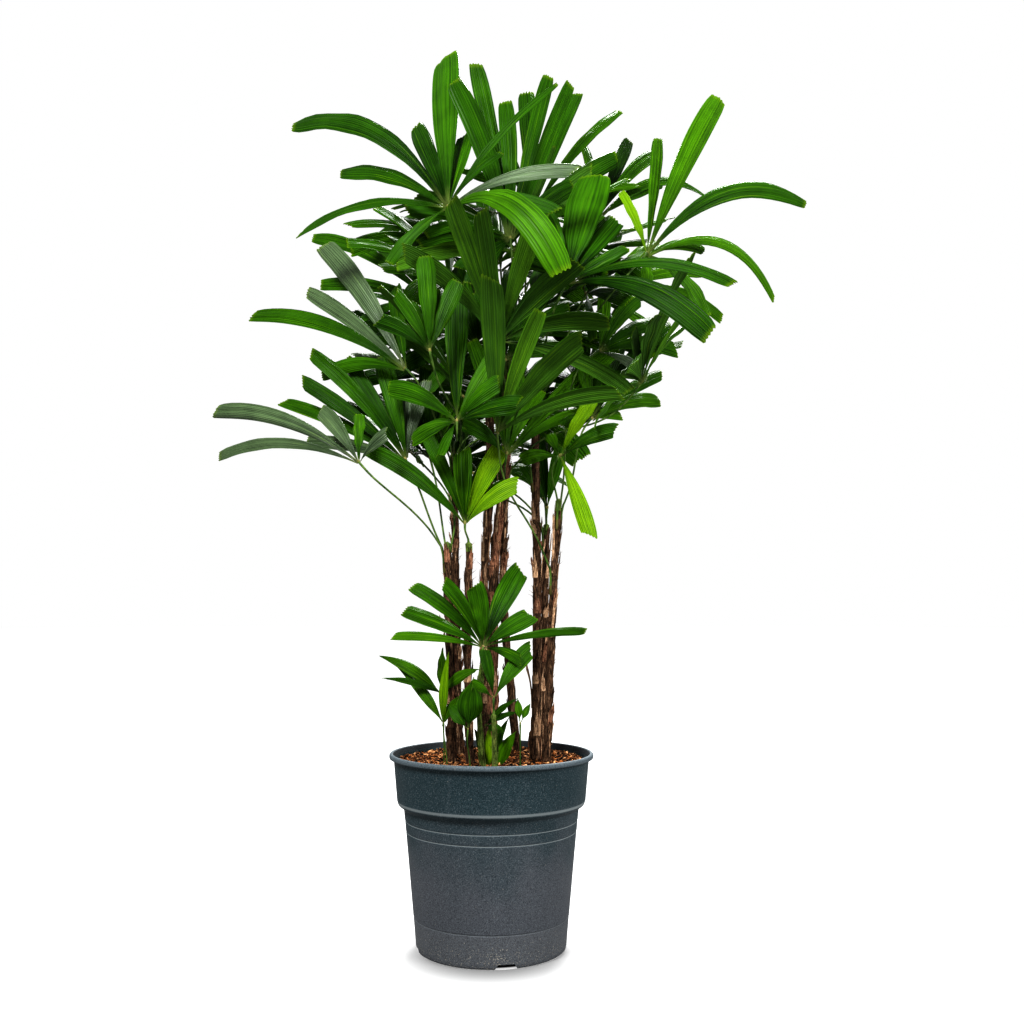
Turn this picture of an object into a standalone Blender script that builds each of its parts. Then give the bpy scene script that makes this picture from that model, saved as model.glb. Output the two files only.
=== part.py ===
"""Lady palm in a round grower's pot.

Units are metres, +Z is up and the origin is the middle of the pot's flat
underside. The viewer stands on the -Y side with +X to the right, and places
written as (x, z) are where a point shows on the pot's middle plane from there.
"""
import math
import random

import bmesh
import bpy
from mathutils import Matrix, Vector
from mathutils.bvhtree import BVHTree

SEED = 11
GAP = 0.0003

# Pot: a turned shell with a rolled lip, a deep band under it and a tapering body.
POT_H = 0.2645
LIP_R = 0.1418
LIP_DROP = 0.0075
BAND_TOP_R = 0.1354
BAND_LOW_R = 0.1304
BAND_LOW_Z = 0.2010
BODY_TOP_R = 0.1210
BODY_TOP_Z = 0.1915
BASE_R = 0.1030
WALL = 0.0018
FLOOR = 0.0030
GROOVES = (0.1735, 0.1590, 0.0440)
GROOVE_DEEP = 0.0007
GROOVE_HALF = 0.0012
NOTCHES = 4
NOTCH_FIRST = math.radians(-78)
NOTCH_W = 0.030
NOTCH_H = 0.0068
STEPS = 32

# Soil: a plug a finger's breadth below the lip.
SOIL_Z = POT_H - 0.0095

# Fronds: blades of one thickness, with a small hub and a flat stalk.
BLADE = 0.0026
CLEAR = 0.0007
HUB_R = 0.0070
STALK_W = 0.0042
BROADER = 1.05
ARM_SPACE = math.radians(21)
WIDE_GAP = math.radians(46)
EYE = Vector((0.0285, -1.622, 0.478))
UP = Vector((0, 0, 1))

# Canes: places seen from the front, depth at foot and top, and radii there.
CANES = {
    "a": (((-0.055, SOIL_Z), (-0.058, 0.414), (-0.063, 0.558)), -0.030, -0.040, 0.0074, 0.0060),
    "b": (((-0.045, SOIL_Z), (-0.049, 0.414), (-0.052, 0.584), (-0.055, 0.684)), 0.045, 0.030, 0.0070, 0.0056),
    "c": (((-0.030, SOIL_Z), (-0.034, 0.384), (-0.032, 0.534), (-0.033, 0.558)), -0.045, -0.050, 0.0060, 0.0052),
    "d": (((-0.007, SOIL_Z), (-0.011, 0.474), (-0.004, 0.634), (0.000, 0.814)), 0.030, 0.020, 0.0076, 0.0060),
    "e": (((0.001, SOIL_Z), (0.002, 0.474), (0.007, 0.560), (0.019, 0.664), (0.027, 0.734)),
          -0.015, -0.015, 0.0088, 0.0066),
    "f": (((0.035, SOIL_Z), (0.023, 0.391), (0.016, 0.504), (0.019, 0.684), (0.023, 0.824)),
          0.075, 0.055, 0.0070, 0.0056),
    "g": (((0.061, SOIL_Z), (0.064, 0.474), (0.061, 0.684), (0.064, 0.774)), 0.000, 0.005, 0.0076, 0.0062),
    "h": (((0.069, SOIL_Z), (0.073, 0.404), (0.077, 0.584)), 0.055, 0.050, 0.0064, 0.0052),
    "i": (((0.077, SOIL_Z), (0.085, 0.457), (0.095, 0.619)), -0.025, -0.030, 0.0066, 0.0054),
    "j": (((-0.013, SOIL_Z), (-0.018, 0.340), (-0.013, 0.389)), -0.070, -0.075, 0.0046, 0.0036),
    "k": (((0.004, SOIL_Z), (0.003, 0.319)), -0.088, -0.090, 0.0040, 0.0034),
}

# Fronds that show from the front. Each has its cane (or a foot in the soil), its
# hub (x, z) and depth y, the way its face turns and tips back, the heading of its
# stalk at the hub, and leaflets as (heading, length, width, rise) in mm and degrees.
FRONDS = (
    ("d", (-0.064, 1.042), -0.10, (-28, 24), 115,
     ((91, 225, 45), (153, 257, 34, .15), (191, 219, 25, .10), (163, 165, 26), (112, 129, 28),
      (76, 114, 28), (49, 243, 20), (329, 191, 38, .20), (225, 120, 28))),
    ("e", (0.026, 0.995), -0.05, (22, 12), 95,
     ((109, 253, 40), (101, 265, 26), (92, 205, 26), (169, 222, 26, .12), (183, 134, 24),
      (230, 90, 26), (77, 249, 22), (69, 246, 22), (40, 120, 26))),
    ("g", (0.108, 0.931), -0.12, (-24, 26), 62,
     ((76, 163, 58), (53, 119, 40), (32, 100, 28), (-1, 240, 22, .12), (-21, 221, 34, .12),
      (157, 87, 25), (110, 110, 30))),
    ("g", (0.223, 0.973), -0.05, (38, 18), 48,
     ((65, 254, 34), (84, 172, 20), (17, 243, 30, .16), (-20, 194, 24, .2), (-48, 126, 30, .12),
      (-90, 46, 22), (2, 84, 18), (112, 100, 24))),
    ("b", (-0.050, 0.730), -0.10, (-30, 14), 92,
     ((90, 201, 36), (118, 239, 34), (155, 110, 28), (42, 84, 26), (243, 60, 22), (15, 95, 26))),
    ("e", (0.021, 0.683), -0.07, (30, 12), 82,
     ((107, 173, 28), (58, 188, 38), (44, 225, 28), (18, 173, 20), (145, 84, 26), (82, 130, 30))),
    ("c", (-0.038, 0.584), -0.055, (-18, 8), 90,
     ((90, 136, 36), (114, 143, 20), (143, 173, 24), (64, 125, 28), (36, 96, 24))),
    ("a", (-0.189, 0.671), -0.06, (-34, 18), 128,
     ((161, 220, 24), (178, 200, 18), (127, 94, 24), (91, 70, 20), (46, 60, 20))),
    ("a", (-0.123, 0.675), -0.02, (-8, 12), 118,
     ((132, 206, 22), (121, 168, 22), (143, 189, 22), (155, 196, 20), (104, 154, 28),
      (86, 117, 26), (170, 143, 20))),
    ("a", (-0.088, 0.677), 0.02, (28, 14), 105,
     ((147, 145, 16), (114, 100, 24), (92, 130, 28), (66, 105, 24))),
    ("i", (0.142, 0.733), -0.01, (36, 18), 45,
     ((50, 179, 26), (70, 128, 30), (14, 101, 22), (-163, 45, 18), (32, 120, 20), (100, 80, 24))),
    ("b", (-0.124, 0.805), -0.03, (-38, 20), 140,
     ((124, 219, 35), (161, 234, 26), (142, 180, 24), (98, 120, 26), (185, 120, 24))),
    ("d", (-0.089, 0.904), 0.02, (-32, 24), 130,
     ((152, 194, 22), (133, 112, 22), (172, 160, 24), (108, 120, 24), (200, 130, 24))),
    ("b", (-0.089, 0.831), -0.13, (26, 2), 100,
     ((93, 140, 26), (120, 101, 22), (68, 110, 24), (150, 90, 22))),
    ("d", (-0.020, 0.839), -0.02, (-26, 18), 84,
     ((66, 132, 30), (86, 114, 26), (107, 120, 30), (132, 110, 26), (38, 100, 26))),
    ("f", (0.019, 0.817), -0.05, (32, 12), 74,
     ((60, 131, 28), (38, 120, 28), (86, 130, 28), (112, 110, 26), (10, 100, 24))),
    ("f", (0.059, 1.033), 0.03, (14, 24), 72,
     ((50, 197, 18), (34, 150, 32), (15, 158, 18), (70, 190, 24), (93, 180, 30), (118, 150, 28),
      (-12, 120, 24), (150, 130, 18))),
    ("f", (0.155, 1.029), 0.07, (34, 24), 40,
     ((47, 126, 22), (68, 120, 24), (10, 156, 22, .15), (28, 104, 22), (102, 110, 24))),
    ("g", (0.155, 0.904), 0.06, (36, 18), 20,
     ((-9, 177, 24, .12), (16, 150, 26), (44, 120, 24), (-36, 110, 24), (75, 110, 24))),
    ("i", (0.154, 0.831), 0.01, (30, 14), 25,
     ((24, 100, 24), (-1, 113, 24), (52, 100, 26), (-30, 80, 20), (84, 90, 22))),
    ("i", (0.097, 0.680), -0.06, (-22, 8), 50,
     ((-70, 126, 22), (-172, 57, 20), (24, 90, 22), (58, 100, 22))),
    ("h", (0.078, 0.606), 0.03, (6, 2), 88,
     ((76, 92, 20), (98, 100, 20), (120, 70, 16))),
    ("j", (-0.012, 0.411), -0.075, (10, 26), 90,
     ((140, 132, 22), (122, 108, 20), (156, 124, 20), (174, 130, 14), (98, 88, 26), (64, 124, 32),
      (32, 84, 26), (8, 148, 12), (-22, 60, 16))),
    ("k", (0.003, 0.340), -0.092, (8, 16), 88,
     ((102, 70, 16), (52, 88, 24), (150, 40, 14))),
    ((-0.030, -0.085), (-0.033, 0.296), -0.090, (-5, 10), 85, ((84, 66, 36), (130, 44, 20))),
    ((-0.066, -0.050), (-0.071, 0.347), -0.055, (-10, 15), 95,
     ((150, 100, 16), (88, 62, 13), (30, 62, 15))),
    ((-0.062, -0.066), (-0.067, 0.305), -0.068, (-10, 15), 90,
     ((130, 98, 14), (88, 42, 12), (52, 46, 14))),
    ((0.040, -0.080), (0.040, 0.304), -0.082, (5, 10), 90, ((97, 34, 10), (62, 30, 9))),
)

# Fronds that fill the crown behind and at the sides, in tiers: height and distance
# of the hubs from the crown's middle, and the bearings on which they stand.
CROWN_X = 0.020
CROWN_Y = 0.030
TIERS = (
    (0.68, 0.150, (8, 62, 112, 168)),
    (0.80, 0.175, (-12, 36, 88, 140, 190)),
    (0.91, 0.160, (15, 65, 115, 165)),
    (1.01, 0.120, (35, 90, 145)),
    (1.06, 0.050, (100,)),
    (0.74, 0.070, (60, 200)),
    (0.86, 0.080, (100, 240)),
    (0.96, 0.080, (-30, 160)),
)
FILL_HEADINGS = (-120, -90, -60, -30, 0, 30, 60, 90, 120)
FILL_LENGTH = 0.205
FILL_WIDTH = 0.028
REACH = Vector((0.36, 0.35, 0.0))
LOWEST_FILL = 0.62

# The outline of the full part of the crown, seen from the front.
OUTLINE = ((-0.199, 0.671), (-0.248, 0.738), (-0.280, 0.781), (-0.249, 0.829), (-0.201, 0.861),
           (-0.233, 0.926), (-0.251, 0.977), (-0.212, 1.014), (-0.223, 1.073), (-0.174, 1.093),
           (-0.134, 1.125), (-0.108, 1.185), (-0.076, 1.242), (-0.018, 1.251), (0.011, 1.212),
           (0.077, 1.239), (0.127, 1.212), (0.188, 1.182), (0.214, 1.125), (0.254, 1.096),
           (0.285, 1.029), (0.307, 0.960), (0.315, 0.890), (0.274, 0.839), (0.225, 0.800),
           (0.211, 0.742), (0.154, 0.702), (0.125, 0.659), (0.091, 0.616), (0.040, 0.648),
           (-0.031, 0.616), (-0.052, 0.585), (-0.088, 0.616), (-0.130, 0.648))

SOIL_COLOUR = (0.060, 0.030, 0.016)
POT_COLOUR = (0.036, 0.048, 0.056)
CANE_COLOUR = (0.055, 0.034, 0.022)
LEAF_COLOURS = ((0.030, 0.150, 0.010), (0.012, 0.070, 0.008), (0.090, 0.240, 0.012))


def sight(x, z, y):
    """The point at depth y that covers (x, z) of the middle plane."""
    ray = Vector((x, 0, z)) - EYE
    return EYE + ray * ((y - EYE.y) / -EYE.y)


def sight_on(x, z, hub, face):
    """Where the line of sight through (x, z) meets the plane of a fan."""
    ray = Vector((x, 0, z)) - EYE
    spot = EYE + ray * ((hub - EYE).dot(face) / ray.dot(face))
    depth = max(hub.y - 0.15, min(hub.y + 0.15, spot.y))
    return EYE + ray * ((depth - EYE.y) / ray.y)


def in_outline(spot):
    """Whether a point shows inside the outline of the full crown from the front."""
    near = EYE + (spot - EYE) * (-EYE.y / (spot.y - EYE.y))
    inside = False
    for (x0, z0), (x1, z1) in zip(OUTLINE, OUTLINE[1:] + OUTLINE[:1]):
        if (z0 > near.z) != (z1 > near.z) and near.x < x0 + (x1 - x0) * (near.z - z0) / (z1 - z0):
            inside = not inside
    return inside


def heading(degrees):
    angle = math.radians(degrees)
    return math.cos(angle), math.sin(angle)


def smooth_path(points, count):
    """Points spaced along a curve through the given ones."""
    ends = [points[0] * 2 - points[1]] + list(points) + [points[-1] * 2 - points[-2]]
    out = []
    for i in range(count):
        at = i / (count - 1) * (len(points) - 1)
        k = min(int(at), len(points) - 2)
        t = at - k
        a, b, c, d = ends[k:k + 4]
        out.append(0.5 * ((b * 2) + (c - a) * t + (a * 2 - b * 5 + c * 4 - d) * t ** 2
                          + (b * 3 - a - c * 3 + d) * t ** 3))
    return out


# Where things lie: canes, fans and leaflets before they become meshes.

class Cane:
    def __init__(self, key):
        seen, foot_y, top_y, self.foot_r, self.top_r = CANES[key]
        low, high = seen[0][1], seen[-1][1]
        spots = []
        for x, z in seen:
            part = (z - low) / (high - low)
            spots.append(sight(x, z, foot_y + (top_y - foot_y) * part))
        spots[0].z = SOIL_Z + GAP
        self.path = smooth_path(spots, 9)
        foot = self.path[0]
        upright = min(0.012, 0.75 * (self.path[1].z - foot.z))
        self.path.insert(1, foot + Vector((0, 0, upright)))
        self.top = self.path[-1]

    def radius(self, z):
        part = (z - self.path[0].z) / (self.top.z - self.path[0].z)
        flare = 0.16 * math.exp(-(z - SOIL_Z) / 0.02)
        return (self.foot_r + (self.top_r - self.foot_r) * part) * (1 + flare)

    def at(self, z):
        """The axis point and the direction of the cane at height z."""
        for a, b in zip(self.path[1:], self.path[2:]):
            if z <= b.z or b is self.top:
                t = (z - a.z) / (b.z - a.z)
                return a.lerp(b, t), (b - a).normalized()
        return self.top.copy(), UP.copy()


def slab(lefts, rights, normals, half, before=()):
    """A closed strip round a blade, as vertices and faces, after those of another."""
    verts, done = (list(before[0]), list(before[1])) if before else ([], [])
    first = len(verts)
    for a, b, n in zip(lefts, rights, normals):
        verts += [a + n * half, b + n * half, b - n * half, a - n * half]
    faces = [(0, 1, 2, 3)]
    for i in range(len(lefts) - 1):
        low, high = 4 * i, 4 * i + 4
        for k in range(4):
            m = (k + 1) % 4
            faces.append((low + k, low + m, high + m, high + k))
    last = 4 * (len(lefts) - 1)
    faces.append((last + 3, last + 2, last + 1, last))
    return verts, done + [tuple(first + k for k in face) for face in faces]


class Solid:
    """A slab with its box, for asking whether two things touch."""
    def __init__(self, verts, faces, owner):
        self.low = Vector([min(v[k] for v in verts) for k in range(3)])
        self.high = Vector([max(v[k] for v in verts) for k in range(3)])
        self.tree = BVHTree.FromPolygons(verts, faces)
        self.owner = owner

    def meets(self, other):
        for k in range(3):
            if self.low[k] > other.high[k] or self.high[k] < other.low[k]:
                return False
        return bool(self.tree.overlap(other.tree))


class Leaflet:
    """A blade on a rib that arches from the hub to its tip."""
    def __init__(self, start, tip, face, width, rise, twist):
        self.start, self.tip, self.face = start, tip, face
        self.width, self.twist = width, twist
        chord = tip - start
        self.length = chord.length
        along = chord.normalized()
        lift = UP + face * 0.4
        lift = (lift - along * lift.dot(along)).normalized()
        flat = 1 - abs(along.z) ** 2
        self.rise = lift * (self.length * (rise if rise else 0.03 + 0.06 * flat))

    def spot(self, t):
        return self.start.lerp(self.tip, t) + self.rise * (4 * t * (1 - t))

    def frame(self, t):
        """Place, direction along, direction across and normal at part t of the rib."""
        along = (self.tip - self.start + self.rise * (4 - 8 * t)).normalized()
        across = self.face.cross(along).normalized()
        across = Matrix.Rotation(self.twist * t, 3, along) @ across
        return self.spot(t), along, across, along.cross(across)

    def half_width(self, t):
        """Half the blade's width: a claw at the hub, broad beyond the middle, blunt."""
        shape = ((0, .10), (.20, .44), (.45, .84), (.72, 1), (.88, .96), (1, .66))
        for (t0, w0), (t1, w1) in zip(shape, shape[1:]):
            if t <= t1:
                return 0.5 * self.width * (w0 + (w1 - w0) * (t - t0) / (t1 - t0))
        return 0.5 * self.width * shape[-1][1]

    def edges(self, stations):
        lefts, rights, normals = [], [], []
        for t in stations:
            spot, along, across, normal = self.frame(t)
            half = max(self.half_width(t), 0.0010)
            lefts.append(spot + across * half)
            rights.append(spot - across * half)
            normals.append(normal)
        return lefts, rights, normals

    def solid(self, owner):
        """The space it takes, both as a fine curve and in the solid's few straight runs."""
        half = BLADE / 2 + CLEAR
        fine = slab(*self.edges((.05, .16, .28, .40, .52, .64, .76, .88, 1)), half)
        return Solid(*slab(*self.edges((.02,) + self.stations()), half, fine), owner)

    def stations(self):
        return (.18, .45, .76, 1) if self.length > 0.15 else (.20, .62, 1)


def stalk_path(start, first, hub, last, bow):
    """A stalk that leaves the cane along first and comes to the hub along last."""
    reach = (hub - start).length * bow
    a, b, c, d = start, start + first * reach, hub - last * reach, hub
    out = []
    for i in range(7):
        t = i / 6
        out.append(a * (1 - t) ** 3 + b * (3 * t * (1 - t) ** 2) + c * (3 * t * t * (1 - t)) + d * t ** 3)
    out.insert(1, start + first * 0.003)
    return out


class Frond:
    def __init__(self, name, hub, face, mid, foot):
        self.name, self.hub, self.face, self.mid, self.foot = name, hub, face, mid, foot
        self.across = face.cross(mid).normalized()
        self.leaflets = []
        self.stalk = []

    def ring_point(self, angle):
        return self.hub + (self.mid * math.cos(angle) + self.across * math.sin(angle)) * HUB_R

    def turn_of(self, spot):
        """The bearing of a point round the hub, 0 straight on from the stalk."""
        way = spot - self.hub
        return math.atan2(way.dot(self.across), way.dot(self.mid))

    def space_arms(self, turns):
        """The leaflets' places round the hub, spread so that none overlap."""
        order = sorted(range(len(turns)), key=lambda k: turns[k])
        out = list(turns)
        edge = math.pi - 0.5
        for _ in range(60):
            for k in order:
                out[k] = max(-edge, min(edge, out[k]))
            for a, b in zip(order, order[1:]):
                lack = ARM_SPACE - (out[b] - out[a])
                if lack > 0:
                    out[a] -= lack / 2
                    out[b] += lack / 2
        return out

    def stalk_frames(self):
        """Left, right and normal along the stalk, from the hub back to its foot."""
        lefts, rights, normals = [], [], []
        points = self.stalk[::-1]
        for i, spot in enumerate(points):
            ahead = points[max(i - 1, 0)] - points[min(i + 1, len(points) - 1)]
            along = ahead.normalized()
            across = self.face.cross(along).normalized()
            lefts.append(spot + across * (STALK_W / 2))
            rights.append(spot - across * (STALK_W / 2))
            normals.append(along.cross(across))
        return lefts, rights, normals

    def stalk_solid(self, first):
        lefts, rights, normals = self.stalk_frames()
        keep = len(lefts) - first
        half = BLADE / 2 + CLEAR
        ends = [self.hub - self.mid * HUB_R, self.hub + self.mid * HUB_R]
        side = self.across * HUB_R
        disc = slab([e + side for e in ends], [e - side for e in ends], [self.face] * 2, half)
        return Solid(*slab(lefts[:keep], rights[:keep], normals[:keep], half, disc), self.name)


class Layout:
    def __init__(self):
        self.canes = {key: Cane(key) for key in CANES}
        self.fronds = []
        self.solids = []
        self.cane_solids = {}
        self.dice = random.Random(SEED)
        for key, cane in self.canes.items():
            self.cane_solids[key] = self.cane_solid(key, cane)
        self.solids += self.cane_solids.values()
        self.skipped = 0
        self.front()
        self.fill()

    def cane_solid(self, key, cane):
        verts, faces = [], []
        sides = 8
        for spot in cane.path:
            for k in range(sides):
                angle = 2 * math.pi * k / sides
                out = (cane.radius(spot.z) + CLEAR) / math.cos(math.pi / sides)
                verts.append(spot + Vector((math.cos(angle), math.sin(angle), 0)) * out)
        for i in range(len(cane.path) - 1):
            for k in range(sides):
                m = (k + 1) % sides
                faces.append((i * sides + k, i * sides + m, (i + 1) * sides + m, (i + 1) * sides + k))
        faces.append(tuple(range(sides)))
        faces.append(tuple(range(len(verts) - sides, len(verts))))
        return Solid(verts, faces, key)

    def free(self, solid, passed=()):
        return not any(o.owner not in passed and solid.meets(o) for o in self.solids)

    def seat(self, foot, hub, face, height, turn):
        """The foot of a stalk: on the side of its cane, on the cane's top, or in soil."""
        if not isinstance(foot, str):
            spot = sight(foot[0], SOIL_Z, foot[1])
            spot.z = SOIL_Z + GAP
            return spot, UP.copy(), True
        cane = self.canes[foot]
        if height is None:
            along = (cane.top - cane.path[-2]).normalized()
            return cane.top + along * (GAP + 0.0004), along, True
        spot, along = cane.at(height)
        out = hub - spot
        out = (out - along * out.dot(along)).normalized()
        out = Matrix.Rotation(turn, 3, along) @ out
        first = (along * 0.9 + out * 0.45).normalized()
        across = face.cross(first).normalized()
        normal = first.cross(across)
        reach = abs(across.dot(out)) * STALK_W / 2 + abs(normal.dot(out)) * BLADE / 2
        return spot + out * (cane.radius(height) + GAP + reach), first, False

    def find_stalk(self, frond, top_free):
        """Tries feet down the cane until the stalk is clear of everything."""
        cane = self.canes.get(frond.foot) if isinstance(frond.foot, str) else None
        heights = [None]
        if cane:
            limit = min(cane.top.z - 0.008, frond.hub.z - 0.03)
            heights = [limit - 0.013 * k for k in range(10)]
            if top_free:
                heights.insert(0, None)
        end = frond.ring_point(math.pi)
        for height in heights:
            for turn in (0, 0.5, -0.5, 1.0, -1.0):
                for bow in (0.38, 0.25, 0.5):
                    start, first, on_end = self.seat(frond.foot, end, frond.face, height, turn)
                    frond.stalk = stalk_path(start, first, end, frond.mid, bow)
                    passed = (frond.foot,) if cane else ()
                    if not self.free(frond.stalk_solid(0), passed):
                        continue
                    if cane and not on_end:
                        if frond.stalk_solid(2).meets(self.cane_solids[frond.foot]):
                            continue
                    self.solids.append(frond.stalk_solid(0))
                    return on_end
        frond.stalk = []
        return None

    def try_leaflet(self, frond, start, tips, width, rise, twist):
        """Adds the first of the candidate leaflets that is clear of everything."""
        for tip in tips:
            for factor in (1, 0.5, 1.5):
                lift = rise * factor if rise else 0
                leaflet = Leaflet(start, tip, frond.face, width, lift, twist)
                leaflet.rise *= factor if not rise else 1
                solid = leaflet.solid(frond.name)
                own = [o for o in self.solids if o.owner == frond.name]
                if self.free(solid, (frond.name,)) and not self.crosses(solid, leaflet, own):
                    self.solids.append(solid)
                    return leaflet
        return None

    def crosses(self, solid, leaflet, own):
        """Whether a leaflet runs through its own fan beyond the hub."""
        half = BLADE / 2 + CLEAR
        fine = slab(*leaflet.edges((.22, .4, .6, .8, 1)), half)
        outer = Solid(*slab(*leaflet.edges(leaflet.stations()), half, fine), "")
        return any(outer.meets(o) for o in own)

    def front(self):
        """The fronds of the table, with every stalk placed before the leaflets."""
        plans = []
        tops = set()
        for k, (foot, (hx, hz), y, (yaw, pitch), mid, leaves) in enumerate(FRONDS):
            hub = sight(hx, hz, y)
            yaw, pitch = math.radians(yaw), math.radians(pitch)
            face = Vector((math.sin(yaw) * math.cos(pitch), -math.cos(yaw) * math.cos(pitch),
                           math.sin(pitch)))
            cx, cz = heading(mid)
            ahead = (sight_on(hx + cx * 0.05, hz + cz * 0.05, hub, face) - hub).normalized()
            face = (face - ahead * face.dot(ahead)).normalized()
            frond = Frond("frond_%02d" % (k + 1), hub, face, ahead, foot)
            near_top = isinstance(foot, str) and foot not in tops and foot in "cehjk"
            on_top = self.find_stalk(frond, near_top)
            if on_top is None:
                print("no stalk", frond.name)
                continue
            if on_top and isinstance(foot, str):
                tops.add(foot)
            plans.append((frond, (hx, hz), leaves))
        for frond, (hx, hz), leaves in plans:
            tips = []
            for leaf in leaves:
                cx, cz = heading(leaf[0])
                x, z = hx + cx * leaf[1] / 1000, hz + cz * leaf[1] / 1000
                tips.append((x, z, sight_on(x, z, frond.hub, frond.face)))
            turns = frond.space_arms([frond.turn_of(tip) for _, _, tip in tips])
            for (x, z, tip), turn, leaf in zip(tips, turns, leaves):
                twist = self.dice.uniform(-0.35, 0.35)
                shifts = (0, .012, -.012, .025, -.025, .04, -.04, .06, -.06, .08)
                options = [sight(x, z, tip.y + s) for s in shifts]
                rise = leaf[3] if len(leaf) > 3 else 0
                done = self.try_leaflet(frond, frond.ring_point(turn), options,
                                        leaf[2] / 1000 * BROADER, rise, twist)
                if done:
                    done.turn = turn
                    frond.leaflets.append(done)
                else:
                    self.skipped += 1
            self.fronds.append(frond)
        for frond in self.fronds:
            self.close_gaps(frond)

    def close_gaps(self, frond):
        """More leaflets where a fan leaves a wide gap, as long as they stay in the crown."""
        if not isinstance(frond.foot, str) or frond.foot in "jk":
            return
        known = sorted(frond.leaflets, key=lambda leaf: leaf.turn)
        for a, b in zip(known, known[1:]):
            if b.turn - a.turn < WIDE_GAP:
                continue
            turn = (a.turn + b.turn) / 2
            start = frond.ring_point(turn)
            way = (start - frond.hub).normalized()
            length = (a.length + b.length) / 2 * 0.8
            options = []
            for lean in (0.05, -0.12, 0.20, -0.25):
                tip = frond.hub + (way + frond.face * lean).normalized() * length
                if ((tip.x - 0.0) / 0.21) ** 2 + ((tip.z - 0.85) / 0.23) ** 2 < 1:
                    options.append(tip)
            done = self.try_leaflet(frond, start, options, FILL_WIDTH, 0, 0.1)
            if done:
                done.turn = turn
                frond.leaflets.append(done)

    def fill(self):
        """Fronds behind and at the sides, each from the nearest cane below its hub."""
        number = len(FRONDS)
        for height, reach, bearings in TIERS:
            for bearing in bearings:
                best = self.fill_frond(height, reach, bearing, "frond_%02d" % (number + 1))
                if best:
                    number += 1
                    self.fronds.append(best)

    def fill_frond(self, height, reach, bearing, name):
        best = None
        for tries in range(8):
            dice = self.dice
            angle = math.radians(bearing + dice.uniform(-7, 7))
            out = Vector((math.cos(angle), math.sin(angle), 0))
            hub = Vector((CROWN_X, CROWN_Y, height + dice.uniform(-0.025, 0.025)))
            hub += out * reach * dice.uniform(0.9, 1.15)
            tilt = math.radians(dice.uniform(35, 60))
            mid = (out * math.cos(tilt) + UP * math.sin(tilt)).normalized()
            side = UP.cross(mid).normalized()
            face = mid.cross(side)
            if face.z < 0:
                face = -face
            face = Matrix.Rotation(dice.uniform(-0.3, 0.3), 3, mid) @ face
            frond = Frond(name, hub, face, mid, self.nearest_cane(hub))
            held = len(self.solids)
            if not in_outline(hub) or self.find_stalk(frond, False) is None:
                continue
            self.fan(frond)
            added = self.solids[held:]
            del self.solids[held:]
            if best is None or len(frond.leaflets) > len(best[0].leaflets):
                best = (frond, added)
            if len(frond.leaflets) >= 7:
                break
        if best is None or len(best[0].leaflets) < 4:
            return None
        self.solids += best[1]
        return best[0]

    def nearest_cane(self, hub):
        def cost(key):
            cane = self.canes[key]
            if cane.top.z > hub.z - 0.02 or cane.top.z < 0.5:
                return 9
            return (cane.top - hub).length
        return min(self.canes, key=cost)

    def fan(self, frond):
        dice = self.dice
        for degrees in FILL_HEADINGS:
            turn = math.radians(degrees + dice.uniform(-4, 4))
            away = abs(degrees) / 112
            length = FILL_LENGTH * (1 - 0.28 * away ** 2) * dice.uniform(0.85, 1.1)
            width = FILL_WIDTH * dice.uniform(0.8, 1.25)
            start = frond.ring_point(turn)
            way = (start - frond.hub).normalized()
            options = []
            for tries in range(4):
                lean = way + frond.face * dice.uniform(-0.10, 0.22)
                tip = frond.hub + lean.normalized() * length
                tip.z -= length * dice.uniform(0.10, 0.42) * (1 - abs(way.z)) + 0.01
                options.append(tip)
            options = [tip for tip in options if self.within(tip)]
            twist = dice.uniform(-0.4, 0.4)
            done = self.try_leaflet(frond, start, options, width, 0, twist)
            if done:
                done.turn = turn
                frond.leaflets.append(done)

    def within(self, tip):
        """Whether a tip stays inside the crown's own outline."""
        if not in_outline(tip):
            return False
        across = (tip.x - CROWN_X) / REACH.x
        back = (tip.y - CROWN_Y) / REACH.y
        top = 1.18 - 0.35 * (across ** 2 + back ** 2)
        low = LOWEST_FILL + max(0, abs(tip.x - 0.03) - 0.08)
        return across ** 2 + back ** 2 < 1 and low < tip.z < top


# Making the solids.

def material(name, colour, roughness):
    mat = bpy.data.materials.new(name)
    mat.use_nodes = True
    shader = mat.node_tree.nodes["Principled BSDF"]
    shader.inputs["Base Color"].default_value = (*colour, 1)
    shader.inputs["Roughness"].default_value = roughness
    return mat


def add_object(name, data, collection, colour, roughness):
    obj = bpy.data.objects.new(name, data)
    collection.objects.link(obj)
    data.materials.append(material(name, colour, roughness))
    return obj


def turned(name, profile, collection, colour, roughness):
    """A closed profile of (radius, height) turned about Z; it runs down its outer side."""
    bm = bmesh.new()
    verts = [bm.verts.new((r, 0, z)) for r, z in profile]
    for a, b in zip(verts, verts[1:] + verts[:1]):
        if a.co.x > 0 or b.co.x > 0:
            bm.edges.new((a, b))
    mesh = bpy.data.meshes.new(name)
    bm.to_mesh(mesh)
    bm.free()
    obj = add_object(name, mesh, collection, colour, roughness)
    screw = obj.modifiers.new("turn", "SCREW")
    screw.steps = screw.render_steps = STEPS
    screw.use_merge_vertices = True
    screw.merge_threshold = 0.00002
    screw.use_smooth_shade = True
    return obj


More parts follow.
